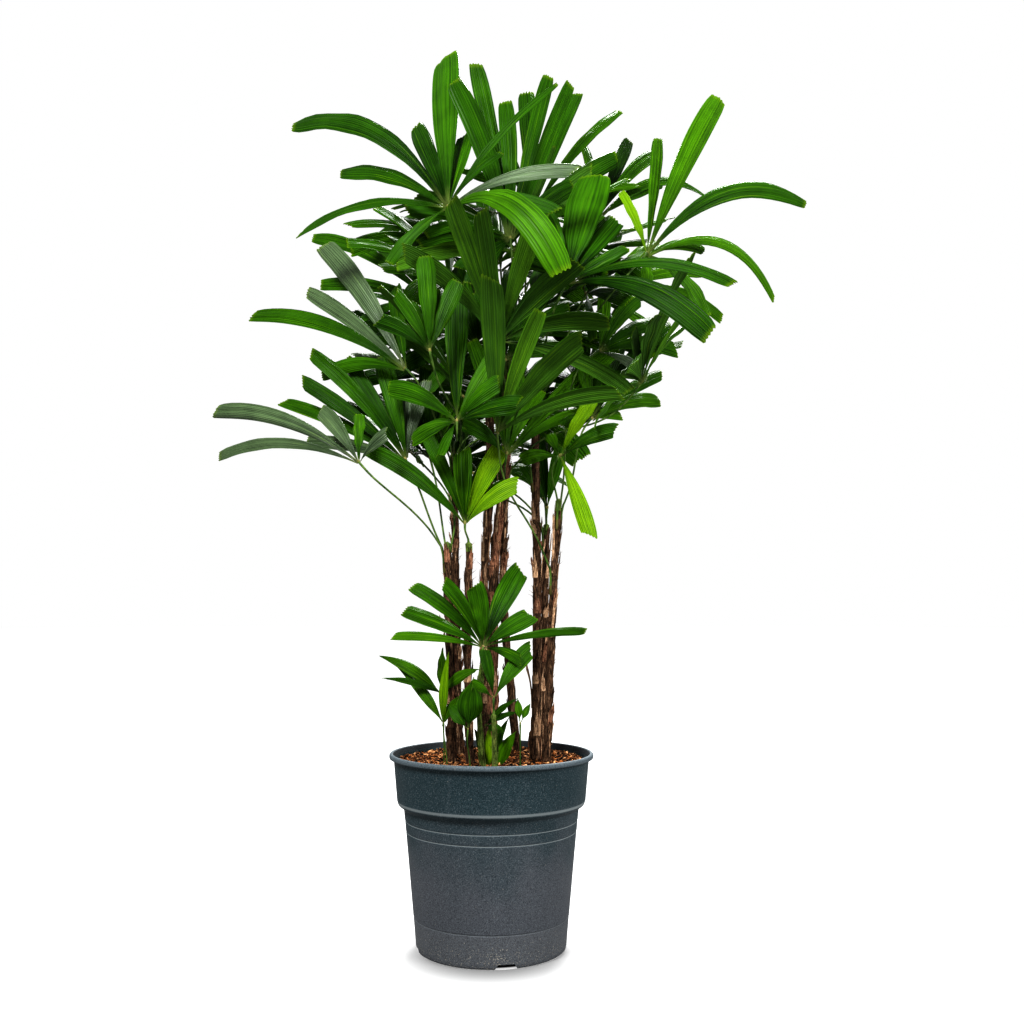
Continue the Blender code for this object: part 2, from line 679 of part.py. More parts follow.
def pot_outer():
    lip = [(LIP_R - 0.0055, POT_H - 0.0006), (LIP_R - 0.0035, POT_H), (LIP_R - 0.0012, POT_H - 0.0008),
           (LIP_R, POT_H - 0.0030), (LIP_R - 0.0004, POT_H - LIP_DROP + 0.0012),
           (LIP_R - 0.0022, POT_H - LIP_DROP), (BAND_TOP_R, POT_H - LIP_DROP - 0.0003)]
    band = [(BAND_LOW_R, BAND_LOW_Z), (BAND_LOW_R - 0.0015, BAND_LOW_Z - 0.0052),
            (BODY_TOP_R + 0.0030, BODY_TOP_Z + 0.0006), (BODY_TOP_R, BODY_TOP_Z - 0.0020)]
    body = []
    for z in GROOVES:
        for dz, deep in ((GROOVE_HALF, 0), (0, GROOVE_DEEP), (-GROOVE_HALF, 0)):
            body.append((body_radius(z + dz) - deep, z + dz))
    base = [(BASE_R + 0.0004, 0.0060), (BASE_R - 0.0006, 0.0016), (BASE_R - 0.0028, 0)]
    return lip + band + body + base


def body_radius(z):
    """The body's outer radius: nearly straight, drawn in a little towards the base."""
    part = z / BODY_TOP_Z
    return BASE_R + (BODY_TOP_R - BASE_R) * part ** 1.08


def pot_inner(gap):
    """The cavity from its floor up to the soil, drawn in by a gap."""
    return [(BASE_R - WALL - gap, FLOOR + gap), (BODY_TOP_R - WALL - gap, BODY_TOP_Z - 0.0045),
            (BAND_LOW_R - WALL - 0.0012 - gap, BAND_LOW_Z - 0.0020)]


def make_pot(collection, cutters):
    inner = pot_inner(0) + [(BAND_TOP_R - WALL, POT_H - LIP_DROP)]
    pot = turned("pot", pot_outer() + [(0, 0), (0, FLOOR)] + inner, collection, POT_COLOUR, 0.55)
    for k in range(NOTCHES):
        angle = NOTCH_FIRST + 2 * math.pi * k / NOTCHES
        cutter = notch_cutter(k, angle, cutters)
        cut = pot.modifiers.new("drain_%d" % k, "BOOLEAN")
        cut.object = cutter
        cut.operation = "DIFFERENCE"
        cut.solver = "EXACT"


def notch_cutter(k, angle, cutters):
    """A slot with slanting sides through the foot of the wall."""
    bm = bmesh.new()
    bmesh.ops.create_cube(bm, size=1)
    for v in bm.verts:
        high = v.co.z > 0
        v.co.x = 0.0985 + v.co.x * 0.033
        v.co.y *= NOTCH_W * (0.72 if high else 1.1)
        v.co.z = NOTCH_H if high else -0.002
    mesh = bpy.data.meshes.new("notch_%d" % k)
    bm.to_mesh(mesh)
    bm.free()
    obj = bpy.data.objects.new("notch_%d" % k, mesh)
    cutters.objects.link(obj)
    obj.rotation_euler.z = angle
    obj.hide_render = True
    obj.display_type = "WIRE"
    return obj


def make_soil(collection):
    """The plug of potting mix, 0.3 mm clear of the pot all round, above the drain slots."""
    low = NOTCH_H + GAP
    cone = pot_inner(GAP)
    (r0, z0), (r1, z1) = cone[0], cone[1]
    foot = (r0 + (r1 - r0) * (low - z0) / (z1 - z0), low)
    slope = (BAND_TOP_R - BAND_LOW_R) / (POT_H - LIP_DROP - BAND_LOW_Z)
    top_r = cone[2][0] + slope * (SOIL_Z - cone[2][1]) - GAP
    profile = [(0, SOIL_Z), (top_r, SOIL_Z), cone[2], cone[1], foot, (0, low)]
    turned("soil", profile, collection, SOIL_COLOUR, 0.95)


def make_cane(key, cane, collection):
    curve = bpy.data.curves.new("cane_" + key, "CURVE")
    curve.dimensions = "3D"
    curve.bevel_depth = 1
    curve.bevel_resolution = 3
    curve.use_fill_caps = True
    spline = curve.splines.new("POLY")
    spline.points.add(len(cane.path) - 1)
    for point, spot in zip(spline.points, cane.path):
        point.co = (*spot, 1)
        point.radius = cane.radius(spot.z)
    add_object("cane_" + key, curve, collection, CANE_COLOUR, 0.85)


def draw_out(bm, edge, left, stations):
    """Pulls an edge of the surface out along pairs of points."""
    for to_left, to_right in stations:
        new = bmesh.ops.extrude_edge_only(bm, edges=[edge])["geom"]
        ends = [g for g in new if isinstance(g, bmesh.types.BMVert)]
        ends.sort(key=lambda v: (v.co - left).length)
        edge = next(g for g in new if isinstance(g, bmesh.types.BMEdge) and set(g.verts) == set(ends))
        ends[0].co, ends[1].co = to_left, to_right
        left = to_left


def make_frond(frond, collection, colour):
    """A hub disc whose rim is drawn out into leaflets and a stalk, then given thickness."""
    leaflets = sorted(frond.leaflets, key=lambda leaf: leaf.turn)
    arms = [(leaf.turn, leaf) for leaf in leaflets] + [(math.pi, None)]
    half = 0.42 * ARM_SPACE
    bm = bmesh.new()
    bmesh.ops.create_circle(bm, cap_ends=True, radius=HUB_R, segments=2 * len(arms))
    bm.verts.ensure_lookup_table()
    ring = list(bm.verts)
    for k, (turn, _) in enumerate(arms):
        ring[2 * k].co = frond.ring_point(turn - half)
        ring[2 * k + 1].co = frond.ring_point(turn + half)
    hub = list(bm.faces)
    for k, (_, leaf) in enumerate(arms):
        right, left = ring[2 * k], ring[2 * k + 1]
        edge = next(e for e in right.link_edges if left in e.verts)
        if leaf:
            lefts, rights, _ = leaf.edges(leaf.stations())
        else:
            rights, lefts, _ = frond.stalk_frames()
            lefts, rights = lefts[1:], rights[1:]
        draw_out(bm, edge, left.co.copy(), list(zip(lefts, rights)))
    bmesh.ops.poke(bm, faces=hub)
    bmesh.ops.recalc_face_normals(bm, faces=bm.faces)
    mesh = bpy.data.meshes.new(frond.name)
    bm.to_mesh(mesh)
    bm.free()
    obj = add_object(frond.name, mesh, collection, colour, 0.45)
    shell = obj.modifiers.new("blade", "SOLIDIFY")
    shell.thickness = BLADE
    shell.offset = 0


def main():
    for obj in list(bpy.data.objects):
        bpy.data.objects.remove(obj, do_unlink=True)
    scene = bpy.context.scene.collection
    plant = bpy.data.collections.new("lady_palm")
    cutters = bpy.data.collections.new("cutters")
    scene.children.link(plant)
    scene.children.link(cutters)
    make_pot(plant, cutters)
    make_soil(plant)
    layout = Layout()
    for key, cane in layout.canes.items():
        make_cane(key, cane, plant)
    for k, frond in enumerate(layout.fronds):
        make_frond(frond, plant, LEAF_COLOURS[k % 3])
    print("fronds", len(layout.fronds), "leaflets", sum(len(f.leaflets) for f in layout.fronds),
          "skipped", layout.skipped)


main()
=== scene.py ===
# %% [markdown]
# # A lady palm in a grower's pot
# A lady palm is a clump of slim canes wrapped in dark fibre, and each cane carries fans of
# long, blunt, ribbed leaflets on thin stalks. It stands here in a ribbed plastic pot, with
# bark and coir on top and a few young suckers and seedlings at the feet of the canes.
#
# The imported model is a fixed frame: it has the true size and place of the pot, the soil,
# every cane and every fan. This lesson keeps all of those places and makes the surfaces
# anew, thin where the solids are thick and rough where they are smooth. The frame is loaded
# first, and its box is kept, so that the finished plant can be measured against it.

# %% Load the frame
import math
import random

import bpy
import numpy as np
from mathutils import Matrix, Vector, noise
from mathutils.bvhtree import BVHTree


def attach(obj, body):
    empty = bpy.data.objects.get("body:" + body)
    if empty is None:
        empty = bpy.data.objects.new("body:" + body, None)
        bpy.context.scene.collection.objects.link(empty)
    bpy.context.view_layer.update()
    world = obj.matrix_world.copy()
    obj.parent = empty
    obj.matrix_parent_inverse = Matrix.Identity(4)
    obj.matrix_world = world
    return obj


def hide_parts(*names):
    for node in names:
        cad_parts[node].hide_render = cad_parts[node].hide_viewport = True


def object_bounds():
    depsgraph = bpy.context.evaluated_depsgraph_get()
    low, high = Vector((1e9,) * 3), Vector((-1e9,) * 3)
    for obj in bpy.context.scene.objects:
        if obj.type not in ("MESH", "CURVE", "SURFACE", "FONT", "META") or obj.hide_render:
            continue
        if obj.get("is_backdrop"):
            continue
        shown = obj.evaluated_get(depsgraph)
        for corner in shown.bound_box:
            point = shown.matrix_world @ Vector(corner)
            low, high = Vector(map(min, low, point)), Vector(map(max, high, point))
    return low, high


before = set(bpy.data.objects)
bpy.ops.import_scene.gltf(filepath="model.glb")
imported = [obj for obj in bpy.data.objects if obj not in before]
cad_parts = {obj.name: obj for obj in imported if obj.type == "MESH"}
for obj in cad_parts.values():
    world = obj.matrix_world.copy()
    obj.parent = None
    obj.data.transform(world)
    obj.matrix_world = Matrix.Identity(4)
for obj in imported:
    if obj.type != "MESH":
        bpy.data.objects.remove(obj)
solid_box = [list(corner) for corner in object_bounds()]
bpy.ops.object.select_all(action="DESELECT")


def in_short(box):
    return [[round(c, 4) for c in corner] for corner in box]


print("solids:", len(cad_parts), "box", in_short(solid_box))

# %% [markdown]
# ## The camera
# A product picture like this is taken from about the height of the lowest leaves, 1.6 m away,
# and tipped up a little so that both the pot's foot and the highest leaf are in the frame.
# A camera is a lens and a place. With the sensor at 36 mm, the length of the lens alone says
# how wide it sees, so the picture is matched by moving the camera and changing one number.

# %% Camera
EYE = Vector((0.0285, -1.622, 0.478))
TIPPED_UP = math.radians(4.28)
bpy.ops.object.camera_add(location=EYE, rotation=(math.radians(90) + TIPPED_UP, 0, 0))
camera = bpy.context.object
camera.name = "picture_camera"
camera.data.lens, camera.data.sensor_width = 40.43, 36
bpy.context.scene.camera = camera
print("camera at", tuple(round(c, 3) for c in camera.location), "lens", camera.data.lens)

# %% [markdown]
# ## The sizes of the plant
# Each cane is known by a few places where it shows from the front, and each fan by its hub,
# the way it faces, and the heading and length of its leaflets. The solids were made from
# these same numbers, so leaves that are worked out from them again lie where the solids lie.
# A table of named values is easier to read and to change than a list of finished points.

# %% Sizes
SEED = 11                      # of the dice that lay out the crown
GAP = 0.0003                   # air between a stalk and its cane
POT_H = 0.2645
SOIL_Z = POT_H - 0.0095
BLADE, CLEAR = 0.0026, 0.0007  # how thick a blade is, and the air that it needs
HUB_R = 0.0070
STALK_W = 0.0042
BROADER = 1.05                 # the solids' leaflets against the table's
ARM_SPACE = math.radians(21)   # between neighbours on a hub
WIDE_GAP = math.radians(46)    # where the solids get one leaflet more
UP = Vector((0, 0, 1))

# Canes: places seen from the front, depth at foot and top, and radii there.
# The last two are the short stems of the suckers.
CANES = {
    "a": (((-0.055, SOIL_Z), (-0.058, 0.414), (-0.063, 0.558)), -0.030, -0.040, 0.0074, 0.0060),
    "b": (((-0.045, SOIL_Z), (-0.049, 0.414), (-0.052, 0.584), (-0.055, 0.684)),
          0.045, 0.030, 0.0070, 0.0056),
    "c": (((-0.030, SOIL_Z), (-0.034, 0.384), (-0.032, 0.534), (-0.033, 0.558)),
          -0.045, -0.050, 0.0060, 0.0052),
    "d": (((-0.007, SOIL_Z), (-0.011, 0.474), (-0.004, 0.634), (0.000, 0.814)),
          0.030, 0.020, 0.0076, 0.0060),
    "e": (((0.001, SOIL_Z), (0.002, 0.474), (0.007, 0.560), (0.019, 0.664), (0.027, 0.734)),
          -0.015, -0.015, 0.0088, 0.0066),
    "f": (((0.035, SOIL_Z), (0.023, 0.391), (0.016, 0.504), (0.019, 0.684), (0.023, 0.824)),
          0.075, 0.055, 0.0070, 0.0056),
    "g": (((0.061, SOIL_Z), (0.064, 0.474), (0.061, 0.684), (0.064, 0.774)),
          0.000, 0.005, 0.0076, 0.0062),
    "h": (((0.069, SOIL_Z), (0.073, 0.404), (0.077, 0.584)), 0.055, 0.050, 0.0064, 0.0052),
    "i": (((0.077, SOIL_Z), (0.085, 0.457), (0.095, 0.619)), -0.025, -0.030, 0.0066, 0.0054),
    "j": (((-0.013, SOIL_Z), (-0.018, 0.340), (-0.013, 0.389)), -0.070, -0.075, 0.0046, 0.0036),
    "k": (((0.004, SOIL_Z), (0.003, 0.319)), -0.088, -0.090, 0.0040, 0.0034),
}

# Fans that show from the front. Each has its cane (or a foot in the soil), its hub (x, z)
# and depth y, the way its face turns and tips back, the heading of its stalk at the hub,
# and leaflets as (heading in degrees, length and width in mm, rise as a part of the length).
FRONDS = (
    ("d", (-0.064, 1.042), -0.10, (-28, 24), 115,
     ((91, 225, 45), (153, 257, 34, .15), (191, 219, 25, .10), (163, 165, 26), (112, 129, 28),
      (76, 114, 28), (49, 243, 20), (329, 191, 38, .20), (225, 120, 28))),
    ("e", (0.026, 0.995), -0.05, (22, 12), 95,
     ((109, 253, 40), (101, 265, 26), (92, 205, 26), (169, 222, 26, .12), (183, 134, 24),
      (230, 90, 26), (77, 249, 22), (69, 246, 22), (40, 120, 26))),
    ("g", (0.108, 0.931), -0.12, (-24, 26), 62,
     ((76, 163, 58), (53, 119, 40), (32, 100, 28), (-1, 240, 22, .12), (-21, 221, 34, .12),
      (157, 87, 25), (110, 110, 30))),
    ("g", (0.223, 0.973), -0.05, (38, 18), 48,
     ((65, 254, 34), (84, 172, 20), (17, 243, 30, .16), (-20, 194, 24, .2), (-48, 126, 30, .12),
      (-90, 46, 22), (2, 84, 18), (112, 100, 24))),
    ("b", (-0.050, 0.730), -0.10, (-30, 14), 92,
     ((90, 201, 36), (118, 239, 34), (155, 110, 28), (42, 84, 26), (243, 60, 22), (15, 95, 26))),
    ("e", (0.021, 0.683), -0.07, (30, 12), 82,
     ((107, 173, 28), (58, 188, 38), (44, 225, 28), (18, 173, 20), (145, 84, 26), (82, 130, 30))),
    ("c", (-0.038, 0.584), -0.055, (-18, 8), 90,
     ((90, 136, 36), (114, 143, 20), (143, 173, 24), (64, 125, 28), (36, 96, 24))),
    ("a", (-0.189, 0.671), -0.06, (-34, 18), 128,
     ((161, 220, 24), (178, 200, 18), (127, 94, 24), (91, 70, 20), (46, 60, 20))),
    ("a", (-0.123, 0.675), -0.02, (-8, 12), 118,
     ((132, 206, 22), (121, 168, 22), (143, 189, 22), (155, 196, 20), (104, 154, 28),
      (86, 117, 26), (170, 143, 20))),
    ("a", (-0.088, 0.677), 0.02, (28, 14), 105,
     ((147, 145, 16), (114, 100, 24), (92, 130, 28), (66, 105, 24))),
    ("i", (0.142, 0.733), -0.01, (36, 18), 45,
     ((50, 179, 26), (70, 128, 30), (14, 101, 22), (-163, 45, 18), (32, 120, 20), (100, 80, 24))),
    ("b", (-0.124, 0.805), -0.03, (-38, 20), 140,
     ((124, 219, 35), (161, 234, 26), (142, 180, 24), (98, 120, 26), (185, 120, 24))),
    ("d", (-0.089, 0.904), 0.02, (-32, 24), 130,
     ((152, 194, 22), (133, 112, 22), (172, 160, 24), (108, 120, 24), (200, 130, 24))),
    ("b", (-0.089, 0.831), -0.13, (26, 2), 100,
     ((93, 140, 26), (120, 101, 22), (68, 110, 24), (150, 90, 22))),
    ("d", (-0.020, 0.839), -0.02, (-26, 18), 84,
     ((66, 132, 30), (86, 114, 26), (107, 120, 30), (132, 110, 26), (38, 100, 26))),
    ("f", (0.019, 0.817), -0.05, (32, 12), 74,
     ((60, 131, 28), (38, 120, 28), (86, 130, 28), (112, 110, 26), (10, 100, 24))),
    ("f", (0.059, 1.033), 0.03, (14, 24), 72,
     ((50, 197, 18), (34, 150, 32), (15, 158, 18), (70, 190, 24), (93, 180, 30), (118, 150, 28),
      (-12, 120, 24), (150, 130, 18))),
    ("f", (0.155, 1.029), 0.07, (34, 24), 40,
     ((47, 126, 22), (68, 120, 24), (10, 156, 22, .15), (28, 104, 22), (102, 110, 24))),
    ("g", (0.155, 0.904), 0.06, (36, 18), 20,
     ((-9, 177, 24, .12), (16, 150, 26), (44, 120, 24), (-36, 110, 24), (75, 110, 24))),
    ("i", (0.154, 0.831), 0.01, (30, 14), 25,
     ((24, 100, 24), (-1, 113, 24), (52, 100, 26), (-30, 80, 20), (84, 90, 22))),
    ("i", (0.097, 0.680), -0.06, (-22, 8), 50,
     ((-70, 126, 22), (-172, 57, 20), (24, 90, 22), (58, 100, 22))),
    ("h", (0.078, 0.606), 0.03, (6, 2), 88,
     ((76, 92, 20), (98, 100, 20), (120, 70, 16))),
    ("j", (-0.012, 0.411), -0.075, (10, 26), 90,
     ((140, 132, 22), (122, 108, 20), (156, 124, 20), (174, 130, 14), (98, 88, 26), (64, 124, 32),
      (32, 84, 26), (8, 148, 12), (-22, 60, 16))),
    ("k", (0.003, 0.340), -0.092, (8, 16), 88,
     ((102, 70, 16), (52, 88, 24), (150, 40, 14))),
    ((-0.030, -0.085), (-0.033, 0.296), -0.090, (-5, 10), 85, ((84, 66, 36), (130, 44, 20))),
    ((-0.066, -0.050), (-0.071, 0.347), -0.055, (-10, 15), 95,
     ((150, 100, 16), (88, 62, 13), (30, 62, 15))),
    ((-0.062, -0.066), (-0.067, 0.305), -0.068, (-10, 15), 90,
     ((130, 98, 14), (88, 42, 12), (52, 46, 14))),
    ((0.040, -0.080), (0.040, 0.304), -0.082, (5, 10), 90, ((97, 34, 10), (62, 30, 9))),
)

# Fans that fill the crown behind and at the sides, in tiers: height and distance
# of the hubs from the crown's middle, and the bearings on which they stand.
CROWN_X, CROWN_Y = 0.020, 0.030
TIERS = (
    (0.68, 0.150, (8, 62, 112, 168)),
    (0.80, 0.175, (-12, 36, 88, 140, 190)),
    (0.91, 0.160, (15, 65, 115, 165)),
    (1.01, 0.120, (35, 90, 145)),
    (1.06, 0.050, (100,)),
    (0.74, 0.070, (60, 200)),
    (0.86, 0.080, (100, 240)),
    (0.96, 0.080, (-30, 160)),
)
FILL_HEADINGS = (-120, -90, -60, -30, 0, 30, 60, 90, 120)
FILL_LENGTH, FILL_WIDTH = 0.205, 0.028
REACH = Vector((0.36, 0.35, 0.0))
LOWEST_FILL = 0.62

# The outline of the full part of the crown, seen from the front.
OUTLINE = ((-0.199, 0.671), (-0.248, 0.738), (-0.280, 0.781), (-0.249, 0.829), (-0.201, 0.861),
           (-0.233, 0.926), (-0.251, 0.977), (-0.212, 1.014), (-0.223, 1.073), (-0.174, 1.093),
           (-0.134, 1.125), (-0.108, 1.185), (-0.076, 1.242), (-0.018, 1.251), (0.011, 1.212),
           (0.077, 1.239), (0.127, 1.212), (0.188, 1.182), (0.214, 1.125), (0.254, 1.096),
           (0.285, 1.029), (0.307, 0.960), (0.315, 0.890), (0.274, 0.839), (0.225, 0.800),
           (0.211, 0.742), (0.154, 0.702), (0.125, 0.659), (0.091, 0.616), (0.040, 0.648),
           (-0.031, 0.616), (-0.052, 0.585), (-0.088, 0.616), (-0.130, 0.648))
print("canes", len(CANES), "fans in the table", len(FRONDS))

# %% [markdown]
# ## Lines of sight
# A place in a photograph is only a direction. A depth turns it into a point: the ray from
# the eye through that place is followed until it is deep enough, or until it meets the plane
# that a fan lies in. A curve through a few such points then gives a cane its gentle bends.

# %% Points from lines of sight
def sight(x, z, y):
    """The point at depth y that covers (x, z) of the middle plane."""
    ray = Vector((x, 0, z)) - EYE
    return EYE + ray * ((y - EYE.y) / -EYE.y)


def sight_on(x, z, hub, face):
    """Where the line of sight through (x, z) meets the plane of a fan."""
    ray = Vector((x, 0, z)) - EYE
    spot = EYE + ray * ((hub - EYE).dot(face) / ray.dot(face))
    depth = max(hub.y - 0.15, min(hub.y + 0.15, spot.y))
    return EYE + ray * ((depth - EYE.y) / ray.y)


def in_outline(spot):
    """Whether a point shows inside the outline of the full crown from the front."""
    near = EYE + (spot - EYE) * (-EYE.y / (spot.y - EYE.y))
    inside = False
    for (x0, z0), (x1, z1) in zip(OUTLINE, OUTLINE[1:] + OUTLINE[:1]):
        if (z0 > near.z) != (z1 > near.z) and near.x < x0 + (x1 - x0) * (near.z - z0) / (z1 - z0):
            inside = not inside
    return inside


def heading(degrees):
    angle = math.radians(degrees)
    return math.cos(angle), math.sin(angle)


def outward(angle):
    """The level way at a bearing."""
    return Vector((math.cos(angle), math.sin(angle), 0))


def smooth_path(points, count):
    """Points spaced along a curve through the given ones."""
    ends = [points[0] * 2 - points[1]] + list(points) + [points[-1] * 2 - points[-2]]
    out = []
    for i in range(count):
        at = i / (count - 1) * (len(points) - 1)
        k = min(int(at), len(points) - 2)
        t = at - k
        a, b, c, d = ends[k:k + 4]
        out.append(0.5 * ((b * 2) + (c - a) * t + (a * 2 - b * 5 + c * 4 - d) * t ** 2
                          + (b * 3 - a - c * 3 + d) * t ** 3))
    return out


print("straight ahead is", tuple(round(c, 3) for c in sight(0, 0.5, 0)))

# %% [markdown]
# ## Canes as paths
# A cane is a path with a radius. The path is all that the later steps ask for: where the
# cane is at some height, which way it leans there and how thick it is. Keeping that apart
# from any mesh means that bark, fibres and leaf stalks can all be placed by the same rule.

# %% Canes
class Cane:
    def __init__(self, key):
        seen, foot_y, top_y, self.foot_r, self.top_r = CANES[key]
        low, high = seen[0][1], seen[-1][1]
        spots = []
        for x, z in seen:
            part = (z - low) / (high - low)
            spots.append(sight(x, z, foot_y + (top_y - foot_y) * part))
        spots[0].z = SOIL_Z + GAP
        self.path = smooth_path(spots, 9)
        foot = self.path[0]
        upright = min(0.012, 0.75 * (self.path[1].z - foot.z))
        self.path.insert(1, foot + Vector((0, 0, upright)))
        self.top = self.path[-1]

    def radius(self, z):
        part = (z - self.path[0].z) / (self.top.z - self.path[0].z)
        flare = 0.16 * math.exp(-(z - SOIL_Z) / 0.02)
        return (self.foot_r + (self.top_r - self.foot_r) * part) * (1 + flare)

    def at(self, z):
        """The axis point and the direction of the cane at height z."""
        for a, b in zip(self.path[1:], self.path[2:]):
            if z <= b.z or b is self.top:
                t = (z - a.z) / (b.z - a.z)
                return a.lerp(b, t), (b - a).normalized()
        return self.top.copy(), UP.copy()

# %% [markdown]
# ## Space that is taken
# Leaves of a real plant lie past each other and not through each other. A slab round each
# leaf, kept in a search tree, answers quickly whether two of them touch. The slab is a
# little larger than the leaf, so that two leaves that pass the test have air between them.

# %% Slabs and overlap
def slab(lefts, rights, normals, half, before=()):
    """A closed strip round a blade, as vertices and faces, after those of another."""
    verts, done = (list(before[0]), list(before[1])) if before else ([], [])
    first = len(verts)
    for a, b, n in zip(lefts, rights, normals):
        verts += [a + n * half, b + n * half, b - n * half, a - n * half]
    faces = [(0, 1, 2, 3)]
    for i in range(len(lefts) - 1):
        low, high = 4 * i, 4 * i + 4
        for k in range(4):
            m = (k + 1) % 4
            faces.append((low + k, low + m, high + m, high + k))
    last = 4 * (len(lefts) - 1)
    faces.append((last + 3, last + 2, last + 1, last))
    return verts, done + [tuple(first + k for k in face) for face in faces]


class Solid:
    """A slab with its box, for asking whether two things touch."""
    def __init__(self, verts, faces, owner):
        self.low = Vector([min(v[k] for v in verts) for k in range(3)])
        self.high = Vector([max(v[k] for v in verts) for k in range(3)])
        self.tree = BVHTree.FromPolygons(verts, faces)
        self.owner = owner

    def meets(self, other):
        for k in range(3):
            if self.low[k] > other.high[k] or self.high[k] < other.low[k]:
                return False
        return bool(self.tree.overlap(other.tree))

# %% [markdown]
# ## Leaflets as ribs
# A leaflet hangs on a rib that rises from the hub, arches over and comes down to its tip.
# It is narrow like a claw at the hub, broad past the middle and blunt at the tip. A rib with
# a direction across and a normal at each part of its length is enough to lay a blade on.

# %% Leaflets
class Leaflet:
    """A blade on a rib that arches from the hub to its tip."""
    def __init__(self, start, tip, face, width, rise, twist):
        self.start, self.tip, self.face = start, tip, face
        self.width, self.twist = width, twist
        chord = tip - start
        self.length = chord.length
        along = chord.normalized()
        lift = UP + face * 0.4
        lift = (lift - along * lift.dot(along)).normalized()
        flat = 1 - abs(along.z) ** 2
        self.rise = lift * (self.length * (rise if rise else 0.03 + 0.06 * flat))

    def spot(self, t):
        return self.start.lerp(self.tip, t) + self.rise * (4 * t * (1 - t))

    def frame(self, t):
        """Place, direction along, direction across and normal at part t of the rib."""
        along = (self.tip - self.start + self.rise * (4 - 8 * t)).normalized()
        across = self.face.cross(along).normalized()
        across = Matrix.Rotation(self.twist * t, 3, along) @ across
        return self.spot(t), along, across, along.cross(across)

    def half_width(self, t):
        """Half the blade's width: a claw at the hub, broad beyond the middle, blunt."""
        shape = ((0, .10), (.20, .44), (.45, .84), (.72, 1), (.88, .96), (1, .66))
        for (t0, w0), (t1, w1) in zip(shape, shape[1:]):
            if t <= t1:
                return 0.5 * self.width * (w0 + (w1 - w0) * (t - t0) / (t1 - t0))
        return 0.5 * self.width * shape[-1][1]

    def edges(self, stations):
        lefts, rights, normals = [], [], []
        for t in stations:
            spot, along, across, normal = self.frame(t)
            half = max(self.half_width(t), 0.0010)
            lefts.append(spot + across * half)
            rights.append(spot - across * half)
            normals.append(normal)
        return lefts, rights, normals

    def solid(self, owner):
        """The space it takes, both as a fine curve and in the solid's few straight runs."""
        half = BLADE / 2 + CLEAR
        fine = slab(*self.edges((.05, .16, .28, .40, .52, .64, .76, .88, 1)), half)
        return Solid(*slab(*self.edges((.02,) + self.stations()), half, fine), owner)

    def stations(self):
        return (.18, .45, .76, 1) if self.length > 0.15 else (.20, .62, 1)

# %% [markdown]
# ## Fans on their stalks
# A fan has one hub, a stalk that comes up to it from the cane and leaflets spread round it.
# The stalk is a curve that leaves the cane steeply and arrives along the middle of the fan.
# The leaflets' bearings are pushed apart until none of them lies on its neighbour.

# %% Fans
def stalk_path(start, first, hub, last, bow):
    """A stalk that leaves the cane along first and comes to the hub along last."""
    reach = (hub - start).length * bow
    a, b, c, d = start, start + first * reach, hub - last * reach, hub
    out = []
    for i in range(7):
        t = i / 6
        out.append(a * (1 - t) ** 3 + b * (3 * t * (1 - t) ** 2)
                   + c * (3 * t * t * (1 - t)) + d * t ** 3)
    out.insert(1, start + first * 0.003)
    return out


class Frond:
    """A fan: on a tall cane, on a sucker's short stem, or a seedling's leaf in the soil."""
    def __init__(self, name, hub, face, mid, foot):
        self.name, self.hub, self.face, self.mid, self.foot = name, hub, face, mid, foot
        self.across = face.cross(mid).normalized()
        self.leaflets = []
        self.stalk = []
        self.seedling = not isinstance(foot, str)
        self.tall = not self.seedling and foot not in "jk"

    def ring_point(self, angle):
        return self.hub + (self.mid * math.cos(angle) + self.across * math.sin(angle)) * HUB_R

    def turn_of(self, spot):
        """The bearing of a point round the hub, 0 straight on from the stalk."""
        way = spot - self.hub
        return math.atan2(way.dot(self.across), way.dot(self.mid))

    def space_arms(self, turns):
        """The leaflets' places round the hub, spread so that none overlap."""
        order = sorted(range(len(turns)), key=lambda k: turns[k])
        out = list(turns)
        edge = math.pi - 0.5
        for _ in range(60):
            for k in order:
                out[k] = max(-edge, min(edge, out[k]))
            for a, b in zip(order, order[1:]):
                lack = ARM_SPACE - (out[b] - out[a])
                if lack > 0:
                    out[a] -= lack / 2
                    out[b] += lack / 2
        return out

    def stalk_frames(self):
        """Left, right and normal along the stalk, from the hub back to its foot."""
        lefts, rights, normals = [], [], []
        points = self.stalk[::-1]
        for i, spot in enumerate(points):
            ahead = points[max(i - 1, 0)] - points[min(i + 1, len(points) - 1)]
            along = ahead.normalized()
            across = self.face.cross(along).normalized()
            lefts.append(spot + across * (STALK_W / 2))
            rights.append(spot - across * (STALK_W / 2))
            normals.append(along.cross(across))
        return lefts, rights, normals

    def stalk_solid(self, first):
        lefts, rights, normals = self.stalk_frames()
        keep = len(lefts) - first
        half = BLADE / 2 + CLEAR
        ends = [self.hub - self.mid * HUB_R, self.hub + self.mid * HUB_R]
        side = self.across * HUB_R
        disc = slab([e + side for e in ends], [e - side for e in ends], [self.face] * 2, half)
        return Solid(*slab(lefts[:keep], rights[:keep], normals[:keep], half, disc), self.name)

# %% [markdown]
# ## Room in the crown
# The crown is laid out in the order in which it grew: canes first, then stalks, then leaves.
# Each new thing is tested against all that is there, and where it doesn't fit, another foot
# on the cane or another bend of the stalk is tried. The first that is free is kept.

